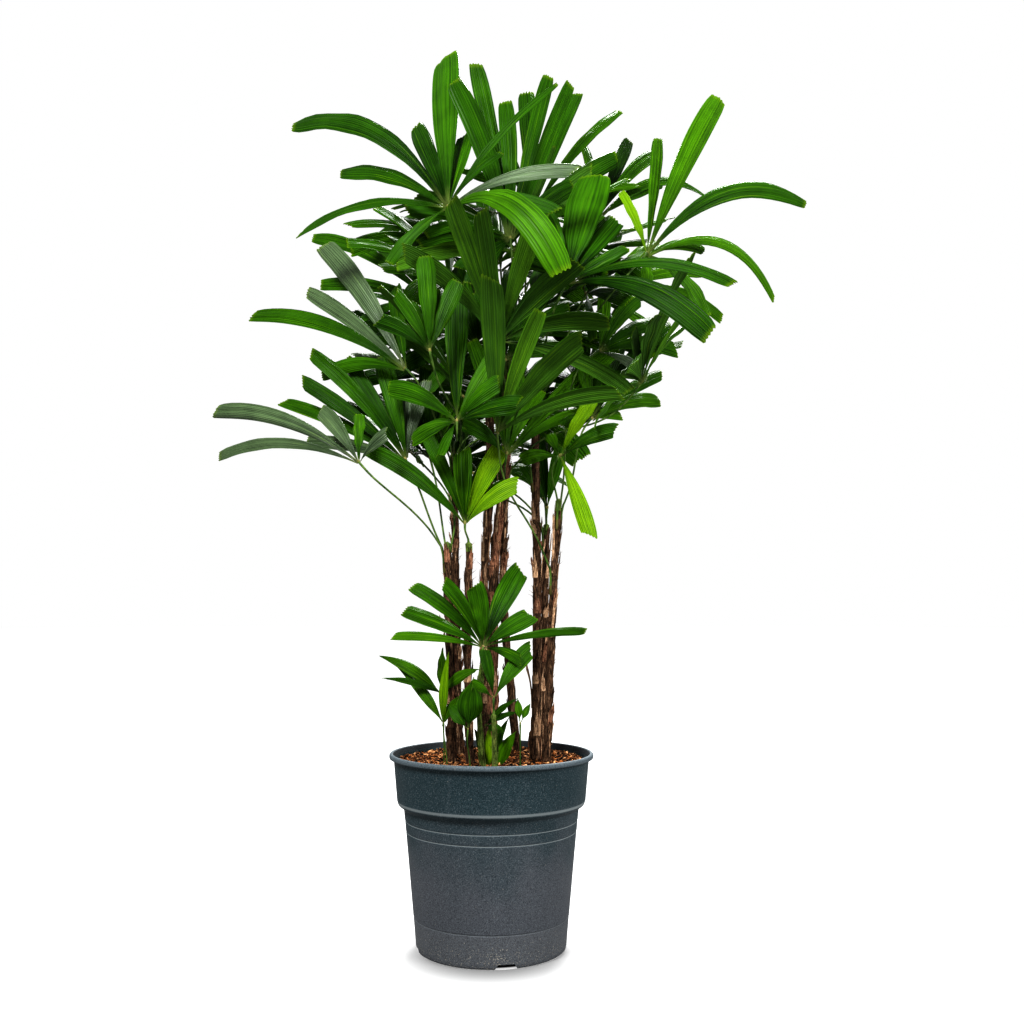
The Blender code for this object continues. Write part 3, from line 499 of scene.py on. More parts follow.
# %% Stalks that find room
class Crown:
    """All that has a place so far, and what can still be added to it."""
    def __init__(self):
        self.canes = {key: Cane(key) for key in CANES}
        self.fronds = []
        self.solids = []
        self.cane_solids = {}
        self.dice = random.Random(SEED)
        for key, cane in self.canes.items():
            self.cane_solids[key] = self.cane_solid(key, cane)
        self.solids += self.cane_solids.values()

    def cane_solid(self, key, cane):
        verts, faces = [], []
        sides = 8
        for spot in cane.path:
            for k in range(sides):
                out = (cane.radius(spot.z) + CLEAR) / math.cos(math.pi / sides)
                verts.append(spot + outward(2 * math.pi * k / sides) * out)
        for i in range(len(cane.path) - 1):
            for k in range(sides):
                m = (k + 1) % sides
                low, high = i * sides, (i + 1) * sides
                faces.append((low + k, low + m, high + m, high + k))
        faces.append(tuple(range(sides)))
        faces.append(tuple(range(len(verts) - sides, len(verts))))
        return Solid(verts, faces, key)

    def free(self, solid, passed=()):
        return not any(o.owner not in passed and solid.meets(o) for o in self.solids)

    def seat(self, foot, hub, face, height, turn):
        """The foot of a stalk: on the side of its cane, on the cane's top, or in soil."""
        if not isinstance(foot, str):
            spot = sight(foot[0], SOIL_Z, foot[1])
            spot.z = SOIL_Z + GAP
            return spot, UP.copy(), True
        cane = self.canes[foot]
        if height is None:
            along = (cane.top - cane.path[-2]).normalized()
            return cane.top + along * (GAP + 0.0004), along, True
        spot, along = cane.at(height)
        out = hub - spot
        out = (out - along * out.dot(along)).normalized()
        out = Matrix.Rotation(turn, 3, along) @ out
        first = (along * 0.9 + out * 0.45).normalized()
        across = face.cross(first).normalized()
        normal = first.cross(across)
        reach = abs(across.dot(out)) * STALK_W / 2 + abs(normal.dot(out)) * BLADE / 2
        return spot + out * (cane.radius(height) + GAP + reach), first, False

    def find_stalk(self, frond, top_free):
        """Tries feet down the cane until the stalk is clear of everything."""
        cane = None if frond.seedling else self.canes[frond.foot]
        heights = [None]
        if cane:
            limit = min(cane.top.z - 0.008, frond.hub.z - 0.03)
            heights = [limit - 0.013 * k for k in range(10)]
            if top_free:
                heights.insert(0, None)
        end = frond.ring_point(math.pi)
        for height in heights:
            for turn in (0, 0.5, -0.5, 1.0, -1.0):
                for bow in (0.38, 0.25, 0.5):
                    start, first, on_end = self.seat(frond.foot, end, frond.face, height, turn)
                    frond.stalk = stalk_path(start, first, end, frond.mid, bow)
                    passed = (frond.foot,) if cane else ()
                    if not self.free(frond.stalk_solid(0), passed):
                        continue
                    if cane and not on_end:
                        if frond.stalk_solid(2).meets(self.cane_solids[frond.foot]):
                            continue
                    self.solids.append(frond.stalk_solid(0))
                    return on_end
        frond.stalk = []
        return None

# %% [markdown]
# ## Leaves that find room
# A leaflet tries its own place first, then a little nearer or further along the same line of
# sight, so that it looks the same from the front wherever it ends up. One that finds no room
# is left out, as a leaf that never opened would be.

# %% Leaflets that find room
class LeafyCrown(Crown):
    def try_leaflet(self, frond, start, tips, width, rise, twist):
        """Adds the first of the candidate leaflets that is clear of everything."""
        for tip in tips:
            for factor in (1, 0.5, 1.5):
                lift = rise * factor if rise else 0
                leaflet = Leaflet(start, tip, frond.face, width, lift, twist)
                leaflet.rise *= factor if not rise else 1
                solid = leaflet.solid(frond.name)
                own = [o for o in self.solids if o.owner == frond.name]
                if self.free(solid, (frond.name,)) and not self.crosses(leaflet, own):
                    self.solids.append(solid)
                    return leaflet
        return None

    def grow(self, frond, turn, tips, width, rise, twist):
        """A leaflet at a bearing round the hub, if one of the tips is free."""
        done = self.try_leaflet(frond, frond.ring_point(turn), tips, width, rise, twist)
        if done:
            done.turn = turn
            frond.leaflets.append(done)

    def gaps(self, frond, least):
        """The wide gaps of a fan: the leaflets beside each, its bearing and its way."""
        known = sorted(frond.leaflets, key=lambda leaf: leaf.turn)
        for a, b in zip(known, known[1:]):
            if b.turn - a.turn >= least:
                turn = (a.turn + b.turn) / 2
                yield a, b, turn, (frond.ring_point(turn) - frond.hub).normalized()

    def crosses(self, leaflet, own):
        """Whether a leaflet runs through its own fan beyond the hub."""
        half = BLADE / 2 + CLEAR
        fine = slab(*leaflet.edges((.22, .4, .6, .8, 1)), half)
        outer = Solid(*slab(*leaflet.edges(leaflet.stations()), half, fine), "")
        return any(outer.meets(o) for o in own)

# %% [markdown]
# ## The fans of the front, and the gaps between them
# The table's fans are placed with all their stalks before any leaflet, because a stalk has
# less choice. Then a fan that was left with a wide gap gets one more leaflet in it.

# %% Fans of the table
TOPPED = "cehjk"  # the canes that one of these fans may end
SHIFTS = (0, .012, -.012, .025, -.025, .04, -.04, .06, -.06, .08)


def in_oval(spot, x, z, wide, high):
    return ((spot.x - x) / wide) ** 2 + ((spot.z - z) / high) ** 2 < 1


class FrontCrown(LeafyCrown):
    def front(self):
        """The fronds of the table, with every stalk placed before the leaflets."""
        plans = []
        tops = set()
        for k, (foot, (hx, hz), y, (yaw, pitch), mid, leaves) in enumerate(FRONDS):
            hub = sight(hx, hz, y)
            yaw, pitch = math.radians(yaw), math.radians(pitch)
            face = Vector((math.sin(yaw) * math.cos(pitch), -math.cos(yaw) * math.cos(pitch),
                           math.sin(pitch)))
            cx, cz = heading(mid)
            ahead = (sight_on(hx + cx * 0.05, hz + cz * 0.05, hub, face) - hub).normalized()
            face = (face - ahead * face.dot(ahead)).normalized()
            frond = Frond("frond_%02d" % (k + 1), hub, face, ahead, foot)
            near_top = not frond.seedling and foot not in tops and foot in TOPPED
            on_top = self.find_stalk(frond, near_top)
            if on_top is None:
                print("no stalk", frond.name)
                continue
            if on_top:
                tops.add(foot)
            plans.append((frond, (hx, hz), leaves))
        for frond, (hx, hz), leaves in plans:
            tips = []
            for leaf in leaves:
                cx, cz = heading(leaf[0])
                x, z = hx + cx * leaf[1] / 1000, hz + cz * leaf[1] / 1000
                tips.append((x, z, sight_on(x, z, frond.hub, frond.face)))
            turns = frond.space_arms([frond.turn_of(tip) for _, _, tip in tips])
            for (x, z, tip), turn, leaf in zip(tips, turns, leaves):
                twist = self.dice.uniform(-0.35, 0.35)
                options = [sight(x, z, tip.y + shift) for shift in SHIFTS]
                rise = leaf[3] if len(leaf) > 3 else 0
                self.grow(frond, turn, options, leaf[2] / 1000 * BROADER, rise, twist)
            self.fronds.append(frond)
        for frond in self.fronds:
            if frond.tall:
                self.close_gaps(frond)

    def close_gaps(self, frond):
        """More leaflets where a fan leaves a wide gap, as long as they stay in the crown."""
        for a, b, turn, way in self.gaps(frond, WIDE_GAP):
            length = (a.length + b.length) / 2 * 0.8
            options = []
            for lean in (0.05, -0.12, 0.20, -0.25):
                tip = frond.hub + (way + frond.face * lean).normalized() * length
                if in_oval(tip, 0, 0.85, 0.21, 0.23):
                    options.append(tip)
            self.grow(frond, turn, options, FILL_WIDTH, 0, 0.1)

# %% [markdown]
# ## The rest of the crown
# One picture shows one side. A plant has as many leaves behind as in front, so tiers of fans
# fill the crown at the back and the sides, each on a stalk from the nearest cane below it.
# Dice with a fixed seed vary them, so that the plant comes out the same every time.

# %% Fans behind and at the sides
OUTER = ((35, 60), FILL_HEADINGS)  # how steep the fans stand, and where their leaflets go
TRIES, FULL_FAN, LEAST_FAN = 8, 7, 4


class WholeCrown(FrontCrown):
    def fill(self, tiers, name, number, behind, before):
        """Fans in tiers, each from the nearest cane below its hub. Returns how many there are."""
        for height, reach, bearings in tiers:
            for bearing in bearings:
                style = before if math.sin(math.radians(bearing)) < -0.4 else behind
                best = self.fill_frond(height, reach, bearing, name % (number + 1), *style)
                if best:
                    number += 1
                    self.fronds.append(best)
        return number

    def fill_frond(self, height, reach, bearing, name, tilts, headings):
        best = None
        for tries in range(TRIES):
            dice = self.dice
            out = outward(math.radians(bearing + dice.uniform(-7, 7)))
            hub = Vector((CROWN_X, CROWN_Y, height + dice.uniform(-0.025, 0.025)))
            hub += out * reach * dice.uniform(0.9, 1.15)
            tilt = math.radians(dice.uniform(*tilts))
            mid = (out * math.cos(tilt) + UP * math.sin(tilt)).normalized()
            side = UP.cross(mid).normalized()
            face = mid.cross(side)
            if face.z < 0:
                face = -face
            face = Matrix.Rotation(dice.uniform(-0.3, 0.3), 3, mid) @ face
            frond = Frond(name, hub, face, mid, self.nearest_cane(hub))
            held = len(self.solids)
            if not in_outline(hub) or self.find_stalk(frond, False) is None:
                continue
            self.fan(frond, headings)
            added = self.solids[held:]
            del self.solids[held:]
            if best is None or len(frond.leaflets) > len(best[0].leaflets):
                best = (frond, added)
            if len(frond.leaflets) >= FULL_FAN:
                break
        if best is None or len(best[0].leaflets) < LEAST_FAN:
            return None
        self.solids += best[1]
        return best[0]

    def nearest_cane(self, hub):
        def cost(key):
            cane = self.canes[key]
            if cane.top.z > hub.z - 0.02 or cane.top.z < 0.5:
                return 9
            return (cane.top - hub).length
        return min(self.canes, key=cost)

    def fan(self, frond, headings):
        dice = self.dice
        for degrees in headings:
            turn = math.radians(degrees + dice.uniform(-4, 4))
            away = abs(degrees) / 112
            length = FILL_LENGTH * (1 - 0.28 * away ** 2) * dice.uniform(0.85, 1.1)
            width = FILL_WIDTH * dice.uniform(0.8, 1.25)
            way = (frond.ring_point(turn) - frond.hub).normalized()
            options = []
            for tries in range(4):
                lean = way + frond.face * dice.uniform(-0.10, 0.22)
                tip = frond.hub + lean.normalized() * length
                tip.z -= length * dice.uniform(0.10, 0.42) * (1 - abs(way.z)) + 0.01
                options.append(tip)
            options = [tip for tip in options if self.within(tip)]
            self.grow(frond, turn, options, width, 0, dice.uniform(-0.4, 0.4))

    def within(self, tip):
        """Whether a tip stays inside the crown's own outline."""
        if not in_outline(tip):
            return False
        across = (tip.x - CROWN_X) / REACH.x
        back = (tip.y - CROWN_Y) / REACH.y
        top = 1.18 - 0.35 * (across ** 2 + back ** 2)
        low = LOWEST_FILL + max(0, abs(tip.x - 0.03) - 0.08)
        return across ** 2 + back ** 2 < 1 and low < tip.z < top

# %% [markdown]
# ## Finer growth
# The solids have as many fans as they need for the crown's outline. The real crown is denser:
# between the leaflets of a fan there are narrower ones, and inside the crown there are more
# fans, which show as dark leaves behind the bright ones. They grow by the same rules, within
# the same outline, and are tested with a thinner slab, because these blades are thin.

# %% Leaflets between leaflets, and fans inside
INNER = ((0.64, 0.060, (-60, 10, 80, 150, 230)), (0.70, 0.110, (-100, -20, 40, 130, 200)),
         (0.76, 0.050, (-80, 0, 90, 180)), (0.82, 0.110, (-90, -35, 20, 70, 150, 215)),
         (0.88, 0.040, (-90, 0, 120, 200)), (0.93, 0.110, (-80, 0, 60, 130, 190, 235)),
         (0.98, 0.050, (-60, 20, 110, 200)), (1.03, 0.110, (-40, 20, 80, 150, 210)))
INNER_BEHIND = ((42, 72), FILL_HEADINGS)
INNER_BEFORE = ((58, 84), (-84, -60, -38, -18, 0, 18, 38, 60, 84))
NARROW_GAP = math.radians(20)
NARROWER = 0.72


class DenseCrown(WholeCrown):
    def between(self, frond):
        for a, b, turn, way in self.gaps(frond, NARROW_GAP):
            length = min(a.length, b.length) * self.dice.uniform(0.82, 1.0)
            options = []
            for lean in (0.0, -0.06, 0.08, -0.14, -0.22):
                tip = frond.hub + (way + frond.face * lean).normalized() * length
                tip.z -= length * 0.12 * (1 - abs(way.z))
                fills = int(frond.name[-2:]) > len(FRONDS)
                if in_outline(tip) and (fills or in_oval(tip, 0.02, 0.86, 0.16, 0.24)):
                    options.append(tip)
            width = (a.width + b.width) / 2 * NARROWER
            self.grow(frond, turn, options, width, 0, self.dice.uniform(-0.2, 0.2))


crown = DenseCrown()
crown.front()
known = crown.fill(TIERS, "frond_%02d", len(FRONDS), OUTER, OUTER)
BLADE, CLEAR = 0.0006, 0.0003
for frond in crown.fronds:
    if frond.tall:
        crown.between(frond)
inside = crown.fill(INNER, "inner_%02d", 0, INNER_BEHIND, INNER_BEFORE)
print("fans", known, "inside", inside, "leaflets", sum(len(f.leaflets) for f in crown.fronds))

# %% [markdown]
# ## Finishes from nodes
# A finish is a small sum: this colour here, that colour there, rougher where it is dusty.
# Writing it as Python arithmetic is easier to read than a net of nodes. One class stands for
# a socket and turns each sum into a Math node, and another adds any node and feeds it.
# Colours are given as a screen shows them, from 0 to 255, and turned to linear light.

# %% Values and finishes
def tint(*levels):
    linear = [(c / 255 / 12.92 if c < 11 else ((c / 255 + 0.055) / 1.055) ** 2.4) for c in levels]
    return (*linear, 1)


class Value:
    """A socket that changes over a surface. Arithmetic on it adds Math nodes."""
    def __init__(self, finish, socket):
        self.finish, self.socket = finish, socket

    def math(self, operation, first, second):
        return self.finish.node("Math", {"operation": operation}, {0: first, 1: second})

    def __add__(self, other):
        return self.math("ADD", self, other)

    def __mul__(self, other):
        return self.math("MULTIPLY", self, other)

    def __sub__(self, other):
        return self.math("SUBTRACT", self, other)

    __radd__, __rmul__ = __add__, __mul__


class Finish:
    """A material: its shader, and the nodes that feed it."""
    def __init__(self, name):
        self.material = bpy.data.materials.new(name)
        self.material.use_nodes = True
        self.tree = self.material.node_tree
        self.shader = self.tree.nodes["Principled BSDF"]

    def feed(self, socket, value):
        if isinstance(value, Value):
            self.tree.links.new(value.socket, socket)
        else:
            socket.default_value = value

    def node(self, kind, settings, sockets, output=0):
        made = self.tree.nodes.new("ShaderNode" + kind)
        for name, value in settings.items():
            setattr(made, name, value)
        for name, value in sockets.items():
            self.feed(made.inputs[name], value)
        return Value(self, made.outputs[output])

    def surface(self, sockets):
        for name, value in sockets.items():
            self.feed(self.shader.inputs[name], value)

# %% [markdown]
# Four sums come up in almost every finish: noise that may be stretched, a mask with soft
# edges, a blend of two colours, and a relief. Noise is measured in the object's own metres,
# so a scale of 400 gives grains of about 2.5 mm, whatever the size of the piece.

# %% Noise, masks, blends and relief
class Craft(Finish):
    def noise(self, scale, detail=3, stretch=(1, 1, 1), rough=0.5):
        spot = self.node("TexCoord", {}, {}, "Object")
        spot = self.node("Mapping", {}, {"Vector": spot, "Scale": stretch})
        return self.node("TexNoise", {}, {"Vector": spot, "Scale": scale, "Detail": detail,
                                          "Roughness": rough})

    def height(self):
        spot = self.node("TexCoord", {}, {}, "Object")
        return self.node("SeparateXYZ", {}, {"Vector": spot}, "Z")

    def mask(self, value, low, high):
        return self.node("MapRange", {"interpolation_type": "SMOOTHSTEP"},
                         {"Value": value, "From Min": low, "From Max": high})

    def blend(self, one, other, part):
        return self.node("Mix", {"data_type": "RGBA"}, {0: part, 6: one, 7: other}, 2)

    def relief(self, height, depth, strength=1):
        return self.node("Bump", {}, {"Height": height, "Distance": depth, "Strength": strength})

# %% [markdown]
# ## Laying a grid
# Leaflets, canes, stalks and sheaths are all one thing to a modeller: a flat grid that is
# bent into place. A grid primitive is made once with its own UV map, and each of its
# vertices is sent to a place worked out from how far across and how far along it lies.
# Many copies go into one mesh, which is far lighter for Blender than hundreds of objects.
# Each copy's UV map is moved one whole unit on, so that a finish can tell copies apart.

# %% Grids and heaps
def grid(name, across, along):
    bpy.ops.mesh.primitive_grid_add(x_subdivisions=across, y_subdivisions=along, size=1,
                                    location=(0.5, 0.5, 0))
    bpy.ops.object.transform_apply(location=True, rotation=True, scale=True)
    bpy.context.object.name = name
    return bpy.context.object


def corners(obj):
    flat = np.empty(len(obj.data.vertices) * 3)
    obj.data.vertices.foreach_get("co", flat)
    return flat.reshape(-1, 3)


def heap(name, shape, places, kinds):
    """Copies of a shape in one mesh: places has each copy's vertices, kinds its finish."""
    data = shape.data
    loops = np.empty(len(data.loops), int)
    data.loops.foreach_get("vertex_index", loops)
    starts = np.empty(len(data.polygons), int)
    data.polygons.foreach_get("loop_start", starts)
    uvs = np.empty(len(data.loops) * 2)
    data.uv_layers[0].uv.foreach_get("vector", uvs)
    steps = np.arange(len(places))[:, None]
    mesh = bpy.data.meshes.new(name)
    mesh.vertices.add(len(places) * len(data.vertices))
    mesh.vertices.foreach_set("co", np.concatenate(places).ravel())
    mesh.loops.add(len(places) * len(loops))
    mesh.loops.foreach_set("vertex_index", (loops + steps * len(data.vertices)).ravel())
    mesh.polygons.add(len(places) * len(starts))
    mesh.polygons.foreach_set("loop_start", (starts + steps * len(loops)).ravel())
    kinds = [np.broadcast_to(kind, len(starts)) for kind in kinds]
    mesh.polygons.foreach_set("material_index", np.concatenate(kinds).astype(int))
    uvs = uvs.reshape(-1, 2) * (0.998, 1) + (0.001, 0) + steps[:, :, None] * (1, 0)
    mesh.uv_layers.new(name="UVMap").uv.foreach_set("vector", uvs.ravel())
    mesh.update(calc_edges=True)
    obj = bpy.data.objects.new(name, mesh)
    bpy.context.scene.collection.objects.link(obj)
    return obj

# %% [markdown]
# A piece is finished by the same few steps each time: modifiers are applied, faces are
# shaded smooth except across real edges, the finishes go into its slots, it hangs from the
# frame's root, and the solids that it stands for are hidden. Emptying the slots sets every
# face back to the first finish, so the faces' numbers are read before and written after.

# %% Finishing a piece
def only(obj):
    bpy.ops.object.select_all(action="DESELECT")
    obj.select_set(True)
    bpy.context.view_layer.objects.active = obj


def merge(obj, distance=0.00002):
    only(obj)
    bpy.ops.object.mode_set(mode="EDIT")
    bpy.ops.mesh.select_all(action="SELECT")
    bpy.ops.mesh.remove_doubles(threshold=distance)
    bpy.ops.object.mode_set(mode="OBJECT")


def kinds_of(mesh):
    kinds = np.empty(len(mesh.polygons), np.int32)
    mesh.polygons.foreach_get("material_index", kinds)
    return kinds


def join(objects):
    """One object of several. Join drops the finish numbers, so an attribute carries them."""
    bpy.ops.object.select_all(action="DESELECT")
    for obj in objects:
        obj.data.attributes.new("kind", "INT", "FACE").data.foreach_set("value", kinds_of(obj.data))
        obj.select_set(True)
    bpy.context.view_layer.objects.active = objects[0]
    bpy.ops.object.join()
    mesh = objects[0].data
    kinds = np.empty(len(mesh.polygons), np.int32)
    mesh.attributes["kind"].data.foreach_get("value", kinds)
    mesh.polygons.foreach_set("material_index", kinds)
    mesh.attributes.remove(mesh.attributes["kind"])
    print(mesh.name, "finish numbers", np.bincount(kinds).tolist())
    return objects[0]


def thicken(obj, depth, rim):
    """A wall for a thin sheet. The slots are there first, or the numbers of the back are lost."""
    only(obj)
    for _ in range(12):
        obj.data.materials.append(None)
    shell = obj.modifiers.new("blade", "SOLIDIFY")
    shell.thickness, shell.offset = depth, 0
    shell.material_offset, shell.material_offset_rim = 1, rim
    bpy.ops.object.modifier_apply(modifier=shell.name)


def complete(obj, finishes, nodes, angle=40):
    only(obj)
    bpy.ops.object.shade_smooth_by_angle(angle=math.radians(angle))
    kinds = kinds_of(obj.data)
    obj.data.materials.clear()
    for finish in finishes:
        obj.data.materials.append(finish.material)
    obj.data.polygons.foreach_set("material_index", kinds)
    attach(obj, "root")
    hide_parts(*nodes)
    faces = sum(len(face.vertices) - 2 for face in obj.data.polygons)
    print(obj.name, "stands for", len(nodes), "solids with", faces, "triangles")

# %% [markdown]
# ## The pot
# A grower's pot is thin injection-moulded plastic: a rolled lip, a deep band that lets pots
# stack, a step, two hair-thin rings and a body that tapers to a base with drain slots. It is
# the same all round, so one outline is drawn from a single point, corner by corner, and spun.
# Moulded corners are never sharp, so each corner of the outline is first made a small curve.

# %% The pot's outline
LIP_R, LIP_DROP, WALL, FLOOR = 0.1418, 0.0075, 0.0018, 0.0030
BAND_TOP_R, BAND_LOW_R, BAND_LOW_Z = 0.1354, 0.1304, 0.2010
BODY_TOP_R, BODY_TOP_Z, BASE_R = 0.1210, 0.1915, 0.1030


def body_radius(z):
    return BASE_R + (BODY_TOP_R - BASE_R) * (z / BODY_TOP_Z) ** 1.08


def ring_line(z, deep=0.0007, half=0.0012):
    """A fine step in the wall where the mould's rings left one."""
    return [(body_radius(z - half), z - half), (body_radius(z) - deep, z - half * 0.2),
            (body_radius(z + half) + 0.0002, z + half)]


outline = [(0, 0.0012), (BASE_R - 0.012, 0.0012), (BASE_R - 0.010, 0), (BASE_R - 0.0028, 0),
           (BASE_R - 0.0006, 0.0016), (BASE_R + 0.0004, 0.0060)]
for ring in (0.0440, 0.1590, 0.1735):
    outline += ring_line(ring)
outline += [(BODY_TOP_R, BODY_TOP_Z - 0.0020), (BODY_TOP_R + 0.0030, BODY_TOP_Z + 0.0006),
            (BAND_LOW_R - 0.0015, BAND_LOW_Z - 0.0052), (BAND_LOW_R, BAND_LOW_Z),
            (BAND_TOP_R, POT_H - LIP_DROP - 0.0003), (LIP_R - 0.0026, POT_H - LIP_DROP),
            (LIP_R - 0.0004, POT_H - LIP_DROP + 0.0010), (LIP_R, POT_H - 0.0030),
            (LIP_R - 0.0012, POT_H - 0.0008), (LIP_R - 0.0035, POT_H),
            (LIP_R - 0.0055, POT_H - 0.0006), (BAND_TOP_R - WALL, POT_H - LIP_DROP),
            (BAND_LOW_R - WALL - 0.0012, BAND_LOW_Z - 0.0020),
            (BODY_TOP_R - WALL, BODY_TOP_Z - 0.0045), (BASE_R - WALL, FLOOR), (0, FLOOR)]
print("outline corners", len(outline))

# %% [markdown]
# A quadratic curve through each corner rounds it, and takes at most two fifths of the edges
# beside it, so that close corners don't run into each other. Spin leaves doubles on the
# axis and where it closes, so they are merged before the normals are turned outwards.

# %% Spin the outline
def rounded(points, radius, count=3):
    out = [points[0]]
    for before, corner, after in zip(points, points[1:], points[2:]):
        corner = np.array(corner)
        ends = []
        for other in (before, after):
            way = np.array(other) - corner
            far = np.linalg.norm(way)
            ends.append(corner + way / far * min(radius, far * 0.4))
        for t in np.linspace(0, 1, count + 1):
            out.append(tuple(ends[0] * (1 - t) ** 2 + corner * 2 * t * (1 - t) + ends[1] * t ** 2))
    return out + [points[-1]]


def turned(name, points, steps):
    bpy.ops.mesh.primitive_plane_add(size=0.01, location=(points[0][0], 0, points[0][1]))
    bpy.context.object.name = name
    bpy.ops.object.mode_set(mode="EDIT")
    bpy.ops.mesh.merge(type="CENTER")
    for (x0, z0), (x1, z1) in zip(points, points[1:]):
        bpy.ops.mesh.extrude_region_move(TRANSFORM_OT_translate={"value": (x1 - x0, 0, z1 - z0)})
    bpy.ops.mesh.select_all(action="SELECT")
    bpy.ops.mesh.spin(steps=steps, angle=2 * math.pi, center=(0, 0, 0), axis=(0, 0, 1))
    bpy.ops.mesh.select_all(action="SELECT")
    bpy.ops.mesh.remove_doubles(threshold=0.00001)
    bpy.ops.mesh.normals_make_consistent(inside=False)
    bpy.ops.object.mode_set(mode="OBJECT")
    bpy.ops.object.transform_apply(location=True, rotation=True, scale=True)
    return bpy.context.object


pot = turned("grower_pot", rounded(outline, 0.0014), 128)
print("pot faces", len(pot.data.polygons))

# %% [markdown]
# The drain slots are cut where the wall meets the base, a quarter turn apart, with sides
# that lean inwards. A cutter is a cube with a narrower top, and a Boolean takes it away.

# %% Drain slots
NOTCH_W, NOTCH_H = 0.030, 0.0068
for k in range(4):
    angle = math.radians(-78 + 90 * k)
    bpy.ops.mesh.primitive_cube_add(size=1, location=(0.0985, 0, NOTCH_H / 2 - 0.001))
    cutter = bpy.context.object
    cutter.scale = (0.033, NOTCH_W * 1.1, NOTCH_H + 0.002)
    bpy.ops.object.transform_apply(location=True, rotation=True, scale=True)
    for vertex in cutter.data.vertices:
        if vertex.co.z > NOTCH_H / 2:
            vertex.co.y *= 0.72 / 1.1
    cutter.data.transform(Matrix.Rotation(angle, 4, "Z"))
    only(pot)
    slot = pot.modifiers.new("drain", "BOOLEAN")
    slot.object, slot.operation, slot.solver = cutter, "DIFFERENCE", "EXACT"
    bpy.ops.object.modifier_apply(modifier=slot.name)
    bpy.data.objects.remove(cutter, do_unlink=True)
print("pot faces with slots", len(pot.data.polygons))

# %% [markdown]
# The plastic is recycled and dyed a dark blue-green. It is matt, greyer and dustier towards
# the foot, with pale scuffs where pots rub in a stack and specks of dried splashes. The lip
# is lighter, and the wall inside it is painted dark, as painted shade. Pale lines along the
# fine rings and along the step under the band are painted highlights. Height tells most of
# this, distance from the axis tells inside from outside, and noise breaks the edges up.

# %% Pot plastic
plastic = Craft("pot_plastic")
height = plastic.height()
cloud = plastic.noise(14, 4)
fine = plastic.noise(760, 2)
place = plastic.node("TexCoord", {}, {}, "Object")
around = plastic.node("VectorMath", {"operation": "MULTIPLY"}, {0: place, 1: (1, 1, 0)})
radius = plastic.node("VectorMath", {"operation": "LENGTH"}, {0: around}, "Value")
splash = plastic.node("VectorMath", {"operation": "DISTANCE"},
                      {0: place, 1: (0.010, -0.104, 0.018)}, "Value")
streak = plastic.noise(60, 4, (1, 1, 0.12))
shade = plastic.blend(tint(76, 79, 84), tint(39, 56, 61),
                      plastic.mask(height + cloud * 0.16, 0.15, 0.30))
for color, part in (((88, 90, 93), plastic.mask(height, 0.046, 0.040) * 0.5),
                    ((112, 120, 126), plastic.mask(height, POT_H - 0.0078, POT_H - 0.0055) * 0.45),
                    ((92, 100, 106), plastic.mask(streak, 0.62, 0.80) * 0.22),
                    ((12, 20, 24), plastic.mask(fine, 0.48, 0.72) * 0.6),
                    ((104, 112, 116), plastic.mask(fine, 0.48, 0.28) * 0.52)):
    shade = plastic.blend(shade, tint(*color), part)
# Painted highlights: a pale line along each mould ring and along the step under the band.
RING_HIGHLIGHTS = ((0.1735, 0.0005, 0.7), (0.1590, 0.0005, 0.7),  # height, half width, how strong the painted highlight is
              (0.0440, 0.0005, 0.2), (0.1992, 0.0015, 0.6))
for ring, half, part in RING_HIGHLIGHTS:
    off = plastic.node("Math", {"operation": "ABSOLUTE"}, {0: height - ring})
    near = plastic.mask(off, half * 1.8, half * 0.6)
    shade = plastic.blend(shade, tint(140, 147, 148), near * part)
# Painted shade: the wall inside the lip is darkened, as if shade fell there in the pot.
inside = plastic.mask(radius, 0.1372, 0.1360) * plastic.mask(height, 0.2572, 0.2578)
shade = plastic.blend(shade, tint(20, 23, 25), inside * 0.8)
specks = plastic.noise(620, 2, rough=0.65)
dusty = plastic.mask(height, 0.050, 0.012) * 0.08
dusty = dusty + plastic.mask(splash + cloud * 0.03, 0.034, 0.018) * 0.07
shade = plastic.blend(shade, tint(168, 162, 148), plastic.mask(specks + dusty, 0.70, 0.75) * 0.7)
plastic.surface({"Base Color": shade, "Roughness": plastic.mask(cloud, 0.2, 0.8) * 0.12 + 0.50,
                 "Specular IOR Level": 0.15,
                 "Normal": plastic.relief(fine, 0.00025, 0.5)})
complete(pot, [plastic], ["pot"], 32)

# %% [markdown]
# ## The potting mix
# Growers fill with bark chips and coir, watered down until they settle a finger's breadth
# under the lip. The ground is one grid bent round into a closed disc with an uneven top, and
# the chips on it are a few rough lumps copied many times, each turned and stretched anew.

# %% Uneven ground
SOIL_R = 0.1322


def ground_height(x, y):
    spot = Vector((x, y, 0))
    lump = noise.noise(spot * 22) * 0.0022 + noise.noise(spot * 90) * 0.0016
    edge = max(0, math.hypot(x, y) - 0.112) / 0.02
    return SOIL_Z - 0.0006 + lump - 0.0016 * min(1, edge)


ground = grid("potting_mix", 120, 44)
uv = corners(ground)
places = []
for u, t, _ in uv:
    angle = -2 * math.pi * u
    out = SOIL_R * (min(1, t / 0.92) if t < 0.95 else (1 - t) / 0.05)
    x, y = out * math.cos(angle), out * math.sin(angle)
    if t < 0.95:
        places.append((x, y, ground_height(x, y)))
    else:
        places.append((x * 0.96, y * 0.96, SOIL_Z - 0.03))
ground.data.vertices.foreach_set("co", np.array(places).ravel())
merge(ground)
print("ground faces", len(ground.data.polygons))

# %% [markdown]
# A chip of bark is a flat, broken lump. Three lumps with different broken corners are
# enough, because each copy is stretched and turned another way, and four browns are dealt
# out among them. Chips that would lie inside a cane are left out.

# %% Bark chips and fibres
def lump(seed):
    dice = random.Random(seed)
    bpy.ops.mesh.primitive_ico_sphere_add(subdivisions=1, radius=1, calc_uvs=True)
    for vertex in bpy.context.object.data.vertices:
        vertex.co *= dice.uniform(0.65, 1.2)
    return bpy.context.object


